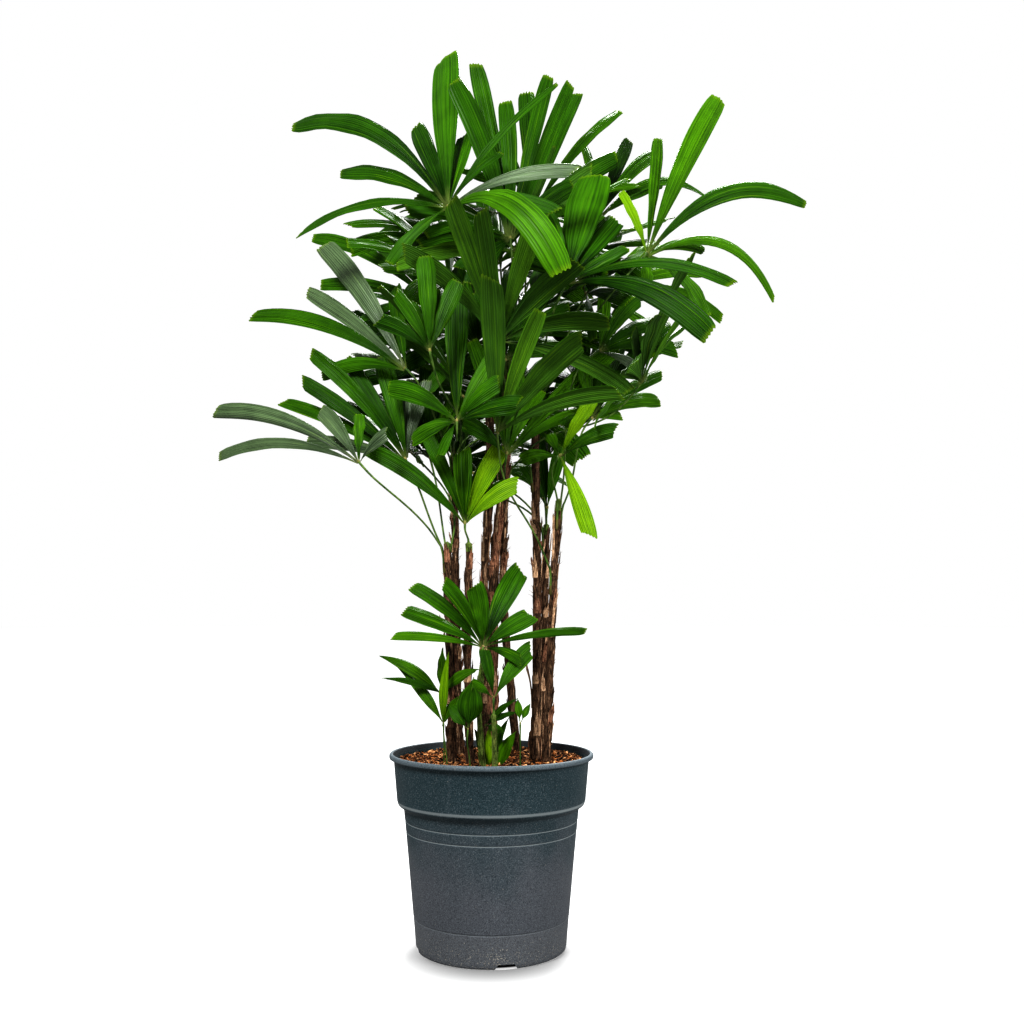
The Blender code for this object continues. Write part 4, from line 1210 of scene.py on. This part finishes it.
def turned_copy(shape, spot, size, dice, flat=1.0):
    around = Matrix.Rotation(dice.uniform(0, 2 * math.pi), 3, "Z")
    pitch, roll = (Matrix.Rotation(dice.gauss(0, 0.45) * flat, 3, axis) for axis in "XY")
    turn = np.array(around @ (pitch @ roll))
    return (shape * np.array(size)) @ turn.T + np.array(spot)


dice = random.Random(5)
chips = []
feet = [(cane.path[0].x, cane.path[0].y, cane.foot_r) for cane in crown.canes.values()]
for seed in (1, 2, 3):
    shape = lump(seed)
    cut = corners(shape)
    places, kinds = [], []
    while len(places) < 860:
        out, angle = 0.130 * math.sqrt(dice.random()), dice.uniform(0, 2 * math.pi)
        x, y = out * math.cos(angle), out * math.sin(angle)
        if any(math.hypot(x - fx, y - fy) < fr for fx, fy, fr in feet):
            continue
        long = dice.uniform(0.0016, 0.0054)
        size = (long, long * dice.uniform(0.25, 0.6), long * dice.uniform(0.15, 0.35))
        spot = (x, y, ground_height(x, y) + dice.uniform(0, 0.0016))
        places.append(turned_copy(cut, spot, size, dice))
        kinds.append(dice.choice((1, 1, 1, 2, 2, 3, 4, 4)))
    chips.append(heap("chips_%d" % seed, shape, places, kinds))
    bpy.data.objects.remove(shape, do_unlink=True)
bpy.ops.mesh.primitive_cone_add(vertices=3, radius1=1, radius2=0, depth=2)
strand = bpy.context.object
cut = corners(strand)
places, kinds = [], []
STRANDS = 260
for _ in range(STRANDS):
    out, angle = 0.126 * math.sqrt(dice.random()), dice.uniform(0, 2 * math.pi)
    x, y = out * math.cos(angle), out * math.sin(angle)
    rolled = cut[:, [2, 0, 1]]
    spot = (x, y, ground_height(x, y) + 0.0014)
    size = (dice.uniform(0.004, 0.010), 0.0004, 0.0004)
    places.append(turned_copy(rolled, spot, size, dice, 0.4))
    kinds.append(dice.choice((2, 3, 4)))
chips.append(heap("strands", strand, places, kinds))
bpy.data.objects.remove(strand, do_unlink=True)
potting = join([ground] + chips)

# %% [markdown]
# Damp coir is rust brown and dark between the crumbs. Each brown is its own finish with a
# little noise in it, since real chips differ from each other more than within themselves.

# %% Browns of the potting mix
def earth(name, dark, light, scale):
    finish = Craft(name)
    grain = finish.noise(scale, 5)
    shade = finish.blend(tint(*dark), tint(*light), finish.mask(grain, 0.38, 0.62))
    finish.surface({"Base Color": shade, "Roughness": 0.92, "Specular IOR Level": 0.05,
                    "Normal": finish.relief(grain, 0.001, 0.9)})
    return finish


browns = [earth("damp_coir", (18, 10, 5), (96, 58, 30), 420),
          earth("bark_dark", (38, 22, 11), (92, 58, 32), 300),
          earth("bark_rust", (104, 60, 30), (168, 108, 60), 300),
          earth("bark_tan", (142, 98, 60), (204, 158, 112), 300),
          earth("bark_black", (8, 5, 4), (24, 16, 10), 300)]
complete(potting, browns, ["soil"], 60)

# %% [markdown]
# ## Canes wrapped in fibre
# A cane of this palm is never bare: the foot of each old leaf stays round it as a sheath of
# woven fibre, one over the next, every 3 cm or so. A cane is made of a grid rolled up into a
# tube. Its radius swells along each sheath and drops at the sheath's edge, and noise drawn
# out along the cane gives the fibres.

# %% Cane tubes
def joints_of(cane, dice):
    """Heights of the sheaths' edges, with the bearing that each edge leans to."""
    out, z = [], SOIL_Z + dice.uniform(0.0, 0.02)
    while z < cane.top.z - 0.012:
        out.append((z, dice.uniform(0, 2 * math.pi)))
        z += dice.uniform(0.020, 0.034)
    return out


def axis_at(cane, z):
    """The smoothed axis: the mean of the straight runs a little below and above."""
    spots = [cane.at(max(cane.path[0].z, z + shift))[0] for shift in (-0.007, 0, 0.007)]
    mean = (spots[0] + spots[1] * 2 + spots[2]) / 4
    mean.z = z
    return mean


def cane_tube(key, cane, joints, phase):
    low, high = SOIL_Z - 0.003, cane.top.z
    rows = int((high - low) / 0.0036)
    tube = grid("tube_" + key, 20, rows)
    places = []
    for u, t, _ in corners(tube):
        z = low + (high - low) * t
        angle = 2 * math.pi * u
        spot = axis_at(cane, z)
        below = [z - edge - 0.004 * math.cos(angle - lean) for edge, lean in joints]
        since = min([b for b in below if b > 0], default=0.02)
        way = Vector((math.cos(angle), math.sin(angle), 0))
        fibre = noise.noise(Vector((way.x * 2.6, way.y * 2.6, z * 28 + phase)))
        knot = noise.noise(Vector((way.x, way.y, z * 60 + phase)))
        out = cane.radius(max(z, SOIL_Z)) * (0.76 + 4.0 * since + 0.14 * fibre + 0.07 * knot)
        out *= min(1, (high - z) / 0.004 + 0.3) if t < 1 else 0
        if t == 0:
            out = 0
        places.append(spot + way * out)
    tube.data.vertices.foreach_set("co", np.array(places).ravel())
    merge(tube)
    return tube


dice = random.Random(21)
sheath_edges = {key: joints_of(cane, dice) for key, cane in crown.canes.items()}
tubes = []
for key, cane in crown.canes.items():
    tubes.append(cane_tube(key, cane, sheath_edges[key], dice.uniform(0, 50)))
    for face in tubes[-1].data.polygons:
        green = key in "jk" or face.center.z > cane.top.z - 0.05 * (cane.top.z - SOIL_Z)
        face.material_index = 6 if green else (2 if key == "e" else 0)
print("sheaths", sum(len(edges) for edges in sheath_edges.values()))

# %% [markdown]
# The sheaths' upper ends come loose, split and curl away, and a few tear off in long pale
# strips. A scrap of sheath is a small grid bent round the cane, tight at its foot and free
# at its ragged top. It is laid where the cane has a sheath's edge, so that it seems to grow
# out of the step in the tube.

# %% Loose sheaths
scrap = grid("scrap", 6, 7)
cut = corners(scrap)


def scrap_on(cane, z, bearing, wrap, length, lift, ragged, dice):
    """A scrap wrapped round a cane from height z up, with its free end lifted off."""
    teeth = [dice.uniform(-ragged, ragged) for _ in range(7)]
    lean = dice.uniform(-0.25, 0.25)
    places = []
    for u, t, _ in cut:
        side = (u - 0.5) * wrap * (1 - 0.45 * t ** 2)
        angle = bearing + side + lean * t
        rise = z + length * t + teeth[round(u * 6)] * length * t ** 3
        limit = cane.top.z + 0.010
        rise = min(rise, limit)
        out = cane.radius(max(SOIL_Z, min(rise, cane.top.z))) * 0.87
        out += 0.0003 + lift * t ** 2 * (1 + 0.6 * math.cos(side * 2))
        spot = axis_at(cane, min(rise, cane.top.z))
        spot.z = rise
        places.append(spot + Vector((math.cos(angle), math.sin(angle), 0)) * out)
    return np.array(places)


dice = random.Random(8)
places, kinds = [], []
for key, cane in crown.canes.items():
    for z, lean in sheath_edges[key]:
        for k in range(dice.choice((1, 2, 2))):
            bearing = dice.uniform(0, 2 * math.pi)
            length = dice.uniform(0.014, 0.032)
            start = max(SOIL_Z, z - length * dice.uniform(0.3, 0.7))
            part = (start - SOIL_Z) / (cane.top.z - SOIL_Z)
            places.append(scrap_on(cane, start, bearing, dice.uniform(1.2, 2.6), length,
                                   dice.uniform(0.0004, 0.0024), 0.35, dice))
            green = 6 if part > 0.95 and key not in "jk" else 0
            kinds.append(green or dice.choice((0, 0, 0, 2, 2, 4)))
            if key in "jk":
                kinds[-1] = 6
    for k in range(3 if key not in "jk" else 0):
        z = dice.uniform(SOIL_Z + 0.01, cane.top.z - 0.09)
        places.append(scrap_on(cane, z, dice.uniform(0, 2 * math.pi), dice.uniform(0.35, 0.8),
                               dice.uniform(0.035, 0.075), dice.uniform(0.0015, 0.006), 0.12, dice))
        kinds.append(4)
scraps = heap("scraps", scrap, places, kinds)
bpy.data.objects.remove(scrap, do_unlink=True)
thicken(scraps, 0.0004, 0)
print("scraps", len(places))

# %% [markdown]
# Single fibres stand off everywhere. Each is a three-sided spike of a few faces, so that
# hundreds of them cost little. They point up and outwards, as the weave of a sheath frays.

# %% Stray fibres
bpy.ops.mesh.primitive_cone_add(vertices=3, radius1=1, radius2=0, depth=1, location=(0, 0, 0.5))
bpy.ops.object.transform_apply(location=True, rotation=True, scale=True)
spike = bpy.context.object
cut = corners(spike)
places, kinds = [], []
for key, cane in crown.canes.items():
    count = int((cane.top.z - SOIL_Z) / 0.0042)
    for k in range(count):
        z = dice.uniform(SOIL_Z + 0.004, cane.top.z - 0.006)
        angle = dice.uniform(0, 2 * math.pi)
        out = Vector((math.cos(angle), math.sin(angle), 0))
        way = (out * dice.uniform(0.3, 1.0) + UP * dice.uniform(0.3, 1.1)).normalized()
        turn = np.array(way.to_track_quat("Z", "Y").to_matrix())
        size = np.array((0.00042, 0.00042, dice.uniform(0.004, 0.011)))
        spot = axis_at(cane, z) + out * cane.radius(z) * 0.78
        places.append((cut * size) @ turn.T + np.array(spot))
        kinds.append(dice.choice((0, 0, 2, 4)) if key not in "jk" else 6)
spikes = heap("spikes", spike, places, kinds)
bpy.data.objects.remove(spike, do_unlink=True)
print("fibres", len(places))

# %% [markdown]
# Old sheaths are dark brown and grey where they weather, redder where they are fresh, and
# tan where a strip has torn and shows its inside. The fibres run along the cane, so the
# noise of the finish is drawn out along Z too, fine across and long upwards.

# %% Browns of the sheaths
def bark(name, dark, light, torn, share):
    finish = Craft(name)
    fibre = finish.noise(700, 4, (1, 1, 0.13), 0.7)
    strip = finish.noise(210, 4, (1, 1, 0.10), 0.7)
    weave = finish.noise(420, 3, (0.6, 0.6, 1), 0.7)
    shade = finish.blend(tint(*dark), tint(*light), finish.mask(fibre, 0.38, 0.64))
    shade = finish.blend(shade, tint(*torn), finish.mask(strip, 0.56, 0.74) * share)
    shade = finish.blend(shade, tint(12, 8, 6), finish.mask(weave, 0.50, 0.70) * 0.75)
    finish.surface({"Base Color": shade, "Roughness": 0.85, "Specular IOR Level": 0.05,
                    "Normal": finish.relief(fibre, 0.0008, 0.9)})
    return finish


sheath_dark = bark("sheath_dark", (18, 12, 8), (104, 78, 58), (216, 176, 140), 0.85)
sheath_red = bark("sheath_red", (66, 42, 31), (158, 114, 88), (206, 166, 132), 0.8)
sheath_tan = bark("sheath_tan", (120, 92, 68), (212, 176, 142), (236, 208, 174), 0.5)
sheath_green = bark("sheath_green", (46, 62, 22), (104, 122, 58), (134, 112, 74), 0.5)
canes = join(tubes + [scraps, spikes])
canes.name = "fibrous_canes"
complete(canes, [sheath_dark, sheath_dark, sheath_red, sheath_red, sheath_tan, sheath_tan,
                         sheath_green, sheath_green], ["cane_" + key for key in crown.canes], 50)

# %% [markdown]
# ## Leaflets
# A leaflet is a long blade with ribs along it. It starts as a claw at the hub, is widest
# past its middle, and ends as if torn off, in a row of small teeth. It has ten strips across,
# and the dice fold each edge between them a little up or down. Sixteen steps along are enough
# for its arch. The grid is laid on each leaflet's rib by the same frame that the solids used.

# %% One blade on any rib
blade = grid("blade", 10, 16)
cut = corners(blade)
strip = np.round(cut[:, 0] * 10).astype(int)
odd = strip % 2 * 2 - 1
STEPS = np.unique(np.round(cut[:, 1], 5))
row = np.searchsorted(STEPS, np.round(cut[:, 1], 5))
WIDTH_AT = (-0.05, 0, 0.05, 0.10, 0.16, 0.22, 0.30, 0.40, 0.50, 0.60, 0.70, 0.80, 0.88, 0.94, 1)
BROAD = (0.07, 0.09, 0.15, 0.24, 0.36, 0.47, 0.62, 0.78, 0.89, 0.96, 1.00, 1.00, 0.96, 0.90, 0.76)
POINTED = (0.07, 0.10, 0.22, 0.42, 0.62, 0.78, 0.92, 1.00, 0.97, 0.88, 0.72, 0.50, 0.32, 0.18, 0.03)


def blade_on(leaflet, dice, breadth=1.0, pointed=False):
    """Where the blade's vertices lie when it hangs on a leaflet's rib."""
    sink = -0.7 * HUB_R / leaflet.length
    steps = sink + (1 - sink) * STEPS
    frames = [leaflet.frame(step) for step in steps]
    spot, along, across, normal = (np.array([f[k] for f in frames])[row] for k in range(4))
    t = steps[row]
    half = np.interp(t, WIDTH_AT, POINTED if pointed else BROAD) * leaflet.width * 0.5 * breadth
    side = 1 - 2 * cut[:, 0]
    slant = dice.uniform(-0.35, 0.35) * leaflet.width
    tooth = 0 if pointed else 0.0011
    end = np.clip((t - 0.86) / 0.14, 0, 1) ** 2
    reach = end * (side * slant + odd * tooth * (t > 0.985))
    full = np.clip(half / 0.012, 0.2, 1)
    arch = dice.uniform(0.05, 0.28)
    folds = np.array([dice.uniform(-0.0012, 0.0012) for _ in range(11)])[strip]
    lift = -arch * side ** 2 * half + folds * full
    high = dice.uniform(0.0, 0.0016)
    ripple = high * np.sin(t * dice.uniform(14, 24) + dice.uniform(0, 6)) * side
    ends = end * (abs(slant) * 0.5 + tooth)
    out = spot + across * (side * half)[:, None] + along * (reach - ends)[:, None]
    return out + normal * (lift + ripple)[:, None]


print("blade vertices", len(cut), "rows", len(STEPS))

# %% [markdown]
# Each fan has its own age, and so its own green: the young ones at the top are fresh and
# yellowish, the old ones low down are deep. The same greens also carry painted light: the
# light yellow greens high up stand in for leaves lit from behind, and the deep greens low
# down are partly painted shade. Within a fan the leaflets differ a little. The greens are
# plain finishes dealt out leaflet by leaflet, and each has a paler partner for the
# underside, which Solidify gives to the back of every blade.

# %% Deal the greens and lay the blades
GREENS = {"deep": 0, "middle": 2, "bright": 4, "young": 6, "grey": 8}
# Fans whose greens are shifted from what their height tells, for age and for painted light,
# and fans with leaflets in a grey of painted sheen.
AGE_AND_LIGHT_SHIFT = {"frond_01": -0.35, "frond_02": -0.3, "frond_03": -0.35, "frond_04": 0.3, "frond_06": 0.3,
           "frond_07": 0.45, "frond_17": -0.2, "frond_18": -0.1, "frond_21": 0.6}
GREY_SHEEN_SHARE = {"frond_08": 0.8, "frond_09": 0.3, "frond_12": 0.4}


def green_of(frond, leaflet, dice):
    tip = max(leaflet.tip.z, frond.hub.z)
    # Higher leaves come out lighter: partly age, partly painted light.
    age_and_light = 0.50 + (tip - 0.85) * 0.35 + dice.gauss(0, 0.28) + AGE_AND_LIGHT_SHIFT.get(frond.name, 0)
    if not frond.tall:
        age_and_light = dice.uniform(0.2, 0.8)
    if frond.seedling:
        age_and_light = dice.uniform(0.4, 1.2)
    # Painted sheen: the grey green stands for the sky mirrored on a waxy leaf at a slant.
    if dice.random() < GREY_SHEEN_SHARE.get(frond.name, 0.03):
        return GREENS["grey"]
    if age_and_light < 0.30:
        return GREENS["deep"]
    if age_and_light < 0.66:
        return GREENS["middle"]
    return GREENS["bright"] if age_and_light < 1.22 else GREENS["young"]


# Young shoots at the suckers' feet and more leaves of the seedlings: where each starts and
# how far above the soil, its tip seen from the front, its width.
SHOOTS = (((-0.002, -0.062, 0), (-0.003, 0.300), 0.013, "young"),
          ((0.010, -0.060, 0), (0.034, 0.292), 0.019, "bright"),
          ((0.002, -0.050, 0), (0.024, 0.312), 0.012, "middle"),
          ((-0.006, -0.056, 0), (-0.024, 0.296), 0.014, "deep"),
          ((-0.068, -0.055, 0.099), (-0.153, 0.366), 0.010, "middle"),
          ((-0.063, -0.068, 0.060), (-0.046, 0.341), 0.012, "bright"),
          ((-0.063, -0.068, 0.060), (-0.060, 0.402), 0.013, "young"),
          ((-0.004, -0.072, 0.060), (0.036, 0.338), 0.009, "middle"),
          ((-0.004, -0.072, 0.060), (0.037, 0.319), 0.009, "deep"),
          ((-0.004, -0.070, 0.056), (0.018, 0.290), 0.013, "middle"))
dice = random.Random(4)
leaves = []
SHARES = 4
for share in range(SHARES):
    places, kinds, nodes = [], [], []
    for frond in crown.fronds[share::SHARES]:
        if frond.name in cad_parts:
            nodes.append(frond.name)
        ground_leaf = frond.name in ("frond_25", "frond_26", "frond_27", "frond_28")
        for leaflet in frond.leaflets:
            places.append(blade_on(leaflet, dice, 0.95, ground_leaf))
            kinds.append(green_of(frond, leaflet, dice))
    if share == 0:
        for (x, y, rise), (tip_x, tip_z), width, kind in SHOOTS:
            foot, tip = Vector((x, y, SOIL_Z - 0.003 + rise)), sight(tip_x, tip_z, y - 0.008)
            shoot = Leaflet(foot, tip, Vector((-0.2, -0.9, 0.4)).normalized(), width, 0.06, 0.1)
            places.append(blade_on(shoot, dice, 0.95, True))
            kinds.append(GREENS[kind])
    part = heap("leaflets_%d" % (share + 1), blade, places, kinds)
    thicken(part, 0.0006, 0)
    leaves.append((part, nodes))
bpy.data.objects.remove(blade, do_unlink=True)
print("leaflets laid", sum(len(f.leaflets) for f in crown.fronds), "in shares", len(leaves))

# %% [markdown]
# The green of a leaf is satin: it is waxy above, so it mirrors the sky along its ribs, and
# matt and paler below. The ribs and the fine streaks between them follow the blade's own UV
# map, which is straight on every leaflet however it bends. The whole part of U numbers the
# leaflets, so white noise on it makes each a little lighter or darker than its neighbours.
# The ribs' light and dark stripes in the colour are painted shade of the pleats, and the
# blade is painted darker towards the hub, as painted shade.

# %% Greens
def leaf(name, dark, light, rough, gloss):
    finish = Craft(name)
    spot = finish.node("TexCoord", {}, {}, "UV")
    across = finish.node("SeparateXYZ", {}, {"Vector": spot}, "X")
    along = finish.node("SeparateXYZ", {}, {"Vector": spot}, "Y")
    rib_and_shade = finish.node("Math", {"operation": "SINE"}, {0: across * (2 * math.pi * 10)}) * 0.5 + 0.5
    number = finish.node("Math", {"operation": "FLOOR"}, {0: across})
    tone = finish.node("TexWhiteNoise", {"noise_dimensions": "1D"}, {"W": number})
    lines = finish.node("CombineXYZ", {}, {"X": across * 11, "Y": along * 1.1})
    streak = finish.node("TexNoise", {},
                         {"Vector": lines, "Scale": 1, "Detail": 3, "Roughness": 0.7})
    patch = finish.noise(26, 3)
    # Painted shade: the rib wave lightens and darkens the colour in stripes, as the pleats' shade.
    # The same wave also raises the ribs as relief.
    part = finish.mask(patch, 0.3, 0.7) * 0.2 + rib_and_shade * 0.2
    part = part + finish.mask(streak, 0.38, 0.64) * 0.45 + tone * 0.3
    # Painted shade: the blade is darker towards the hub.
    shade = finish.blend(tint(*dark), tint(*light), part - finish.mask(along, 0.55, 0.05) * 0.25)
    shade = finish.blend(shade, tint(128, 152, 16), finish.mask(streak, 0.60, 0.72) * 0.35)
    shade = finish.blend(shade, tint(120, 146, 20), finish.mask(along, 0.965, 1.0) * 0.3)
    shade = finish.blend(shade, tint(124, 136, 72), finish.mask(along, 0.12, 0.0) * 0.5)
    finish.surface({"Base Color": shade, "Roughness": rough, "Specular IOR Level": gloss,
                    "Normal": finish.relief(rib_and_shade + streak, 0.0006, 0.8)})
    return finish


PALE = (112, 142, 78)


def paler(shade):
    return tuple(round(c * 0.76 + p * 0.24) for c, p in zip(shade, PALE))


greens = []
# The grey green is a painted sheen, and the young green is partly a painted backlight.
for name, dark, light, gloss in (("deep", (5, 29, 0), (46, 90, 4), 0.05),
                                 ("middle", (9, 38, 0), (58, 106, 5), 0.05),
                                 ("bright", (16, 49, 0), (74, 124, 6), 0.05),
                                 ("young", (50, 92, 3), (124, 162, 12), 0.05),
                                 ("grey", (24, 44, 18), (92, 114, 76), 0.35)):
    greens.append(leaf("leaf_%s" % name, dark, light, 0.36, gloss))
    greens.append(leaf("underside_%s" % name, paler(dark), paler(light), 0.6, 0.05))
for part, nodes in leaves:
    complete(part, greens, nodes, 60)

# %% [markdown]
# ## Stalks and hubs
# A stalk is a round, wiry thing with a broad foot that clasps its cane. Its tube follows the
# same curve as the solid and then runs on down the cane as the clasp. The hub, where all the
# leaflets meet, is a small pale knob.

# %% Stalks
def stalk_line(frond):
    """The points of a stalk from its clasp to its hub."""
    points = [spot.copy() for spot in frond.stalk]
    foot = points[0]
    if not frond.seedling:
        cane = crown.canes[frond.foot]
        if foot.z > cane.top.z - 0.001:
            clasp = [cane.at(cane.top.z - drop)[0] for drop in (0.030, 0.012)]
        else:
            clasp = []
            out = foot - cane.at(foot.z)[0]
            out.z = 0
            for drop, near in ((0.040, 0.6), (0.026, 0.85), (0.012, 0.98)):
                z = max(SOIL_Z + 0.002, foot.z - drop)
                clasp.append(cane.at(z)[0] + out.normalized() * cane.radius(z) * near)
    else:
        clasp = [foot - UP * 0.006]
    return clasp + points + [frond.hub.copy()]


rod = grid("rod", 8, 26)
cut = corners(rod)
STEPS = np.unique(np.round(cut[:, 1], 5))
row = np.searchsorted(STEPS, np.round(cut[:, 1], 5))
places, kinds = [], []
for frond in crown.fronds:
    spots = smooth_path(stalk_line(frond), len(STEPS))
    thin, foot = (0.0009, 0) if frond.seedling else (0.0013, 0.0022)
    rings = []
    for k, spot in enumerate(spots):
        ahead = spots[min(k + 1, len(spots) - 1)] - spots[max(k - 1, 0)]
        across = frond.face.cross(ahead).normalized()
        normal = ahead.normalized().cross(across)
        t = k / (len(spots) - 1)
        size = thin + foot * math.exp(-t / 0.10) + 0.0006 * max(0, t - 0.8) / 0.2
        if k in (0, len(spots) - 1):
            size = 0
        rings.append((spot, across * size, normal * size))
    spot, across, normal = (np.array([ring[k] for ring in rings])[row] for k in range(3))
    angle = 2 * math.pi * cut[:, :1]
    places.append(spot + across * np.cos(angle) + normal * np.sin(angle))
    fresh = [0 if not frond.seedling and step < 0.10 else 1 for step in STEPS[:-1]]
    kinds.append(np.repeat(fresh, 8))
stalks = heap("stalks", rod, places, kinds)
bpy.data.objects.remove(rod, do_unlink=True)
merge(stalks, 0.00001)
print("stalks", len(places))

# %% Hubs
bpy.ops.mesh.primitive_ico_sphere_add(subdivisions=2, radius=1, calc_uvs=True)
knob = bpy.context.object
cut = corners(knob)
places = []
for frond in crown.fronds:
    small = 0.5 if frond.foot not in CANES or frond.foot in "jk" else 1
    turn = np.array((frond.across, frond.mid, frond.across.cross(frond.mid)))
    size = np.array((0.0024, 0.0036, 0.0018)) * small
    places.append((cut * size) @ turn + np.array(frond.hub))
hubs = heap("hubs", knob, places, [2] * len(places))
bpy.data.objects.remove(knob, do_unlink=True)
stalks = join([stalks, hubs])


def stem(name, dark, light, rough):
    finish = Craft(name)
    grain = finish.noise(160, 4, (1, 1, 0.25))
    shade = finish.blend(tint(*dark), tint(*light), finish.mask(grain, 0.3, 0.7))
    finish.surface({"Base Color": shade, "Roughness": rough, "Specular IOR Level": 0.1,
                    "Normal": finish.relief(grain, 0.0004, 0.5)})
    return finish


complete(stalks, [stem("clasp", (52, 48, 22), (92, 86, 44), 0.6),
                           stem("stalk_green", (34, 62, 16), (84, 108, 46), 0.5),
                           stem("hub_pale", (84, 92, 44), (132, 124, 74), 0.6)], [], 60)

# %% [markdown]
# ## Floor and light
# The plant stands on a pale floor under a white sky, like a sheet of paper in a light tent.
# The light comes from everywhere, with one soft lamp in front, high on the left, to give the
# leaves their shine, a weaker and lower one on the right, and one behind for the edges. A
# cut-out picture has pure white round the plant, so the paper glows a little to the eye of
# the camera, though not onto the plant, which would lose its shadows. Round the pot's foot
# the glow is left out, and that gap is a painted shadow in which the pot stands. A thin ring
# just inside the foot glows again, as a painted light seen through the slots.

# %% Floor, lamps and sky
bpy.ops.mesh.primitive_circle_add(vertices=96, radius=1.5, fill_type="NGON")
floor = bpy.context.object
floor.name = "pale_floor"
bpy.ops.object.mode_set(mode="EDIT")
bpy.ops.mesh.inset(thickness=0.7)
bpy.ops.object.mode_set(mode="OBJECT")
for vertex in floor.data.vertices:
    if vertex.co.length > 1.4:
        vertex.co *= 12
paper = Craft("white_paper")
tooth = paper.noise(500, 2)
seen = paper.node("LightPath", {}, {}, "Is Camera Ray")
place = paper.node("TexCoord", {}, {}, "Object")
# Painted shadow: the glow fades out round the pot's foot, centred a little in front of it. Painted
# light: a thin ring under the foot glows where the slots are.
away = paper.node("VectorMath", {"operation": "DISTANCE"}, {0: place, 1: (0, -0.035, 0)}, "Value")
under = paper.node("VectorMath", {"operation": "LENGTH"}, {0: place}, "Value")
painted_slot_light = paper.mask(under, 0.090, 0.095) * paper.mask(under, 0.1015, 0.0995)
glow_outside_painted_shadow = paper.mask(away, 0.058, 0.162) + painted_slot_light * 0.7
glow = paper.blend((0, 0, 0, 1), (1, 1, 1, 1), seen * glow_outside_painted_shadow)
paper.surface({"Base Color": paper.blend(tint(116, 116, 116), tint(124, 124, 124), tooth),
               "Roughness": 0.9, "Normal": paper.relief(tooth, 0.0001, 0.2),
               "Emission Color": glow, "Emission Strength": 1.0})
floor.data.materials.append(paper.material)
floor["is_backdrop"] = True


def lamp(name, place, target, size, power):
    bpy.ops.object.light_add(type="AREA", location=place)
    made = bpy.context.object
    made.name = name
    made.data.size, made.data.energy = size, power
    made.rotation_euler = (Vector(target) - Vector(place)).to_track_quat("-Z", "Y").to_euler()


lamp("window_left", (-1.3, -2.0, 2.9), (0, 0, 0.8), 1.0, 222)
lamp("window_right", (2.0, -1.4, 1.6), (0, 0, 0.7), 1.2, 95)
lamp("back_edge", (0.4, 1.9, 2.6), (0, 0, 0.9), 1.2, 200)
world = bpy.data.worlds.new("white_tent")
bpy.context.scene.world = world
world.use_nodes = True
tree = world.node_tree
tent, paper_sky = tree.nodes["Background"], tree.nodes.new("ShaderNodeBackground")
for sky, strength in ((tent, 0.42), (paper_sky, 1.0)):
    sky.inputs["Color"].default_value = (1, 1, 1, 1)
    sky.inputs["Strength"].default_value = strength
seen, choice = tree.nodes.new("ShaderNodeLightPath"), tree.nodes.new("ShaderNodeMixShader")
tree.links.new(seen.outputs["Is Camera Ray"], choice.inputs["Fac"])
tree.links.new(tent.outputs[0], choice.inputs[1])
tree.links.new(paper_sky.outputs[0], choice.inputs[2])
tree.links.new(choice.outputs[0], tree.nodes["World Output"].inputs["Surface"])
bpy.context.scene.view_settings.view_transform = "Standard"
bpy.context.scene.view_settings.gamma = 0.78

# %% [markdown]
# ## Measure and finish
# The box of what shows is printed, as the box of the solids was printed at the start. The
# leaves may stand proud of the solids by a little.

# %% Sizes and finish
made_box = [list(corner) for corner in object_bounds()]
print("box", in_short(made_box))
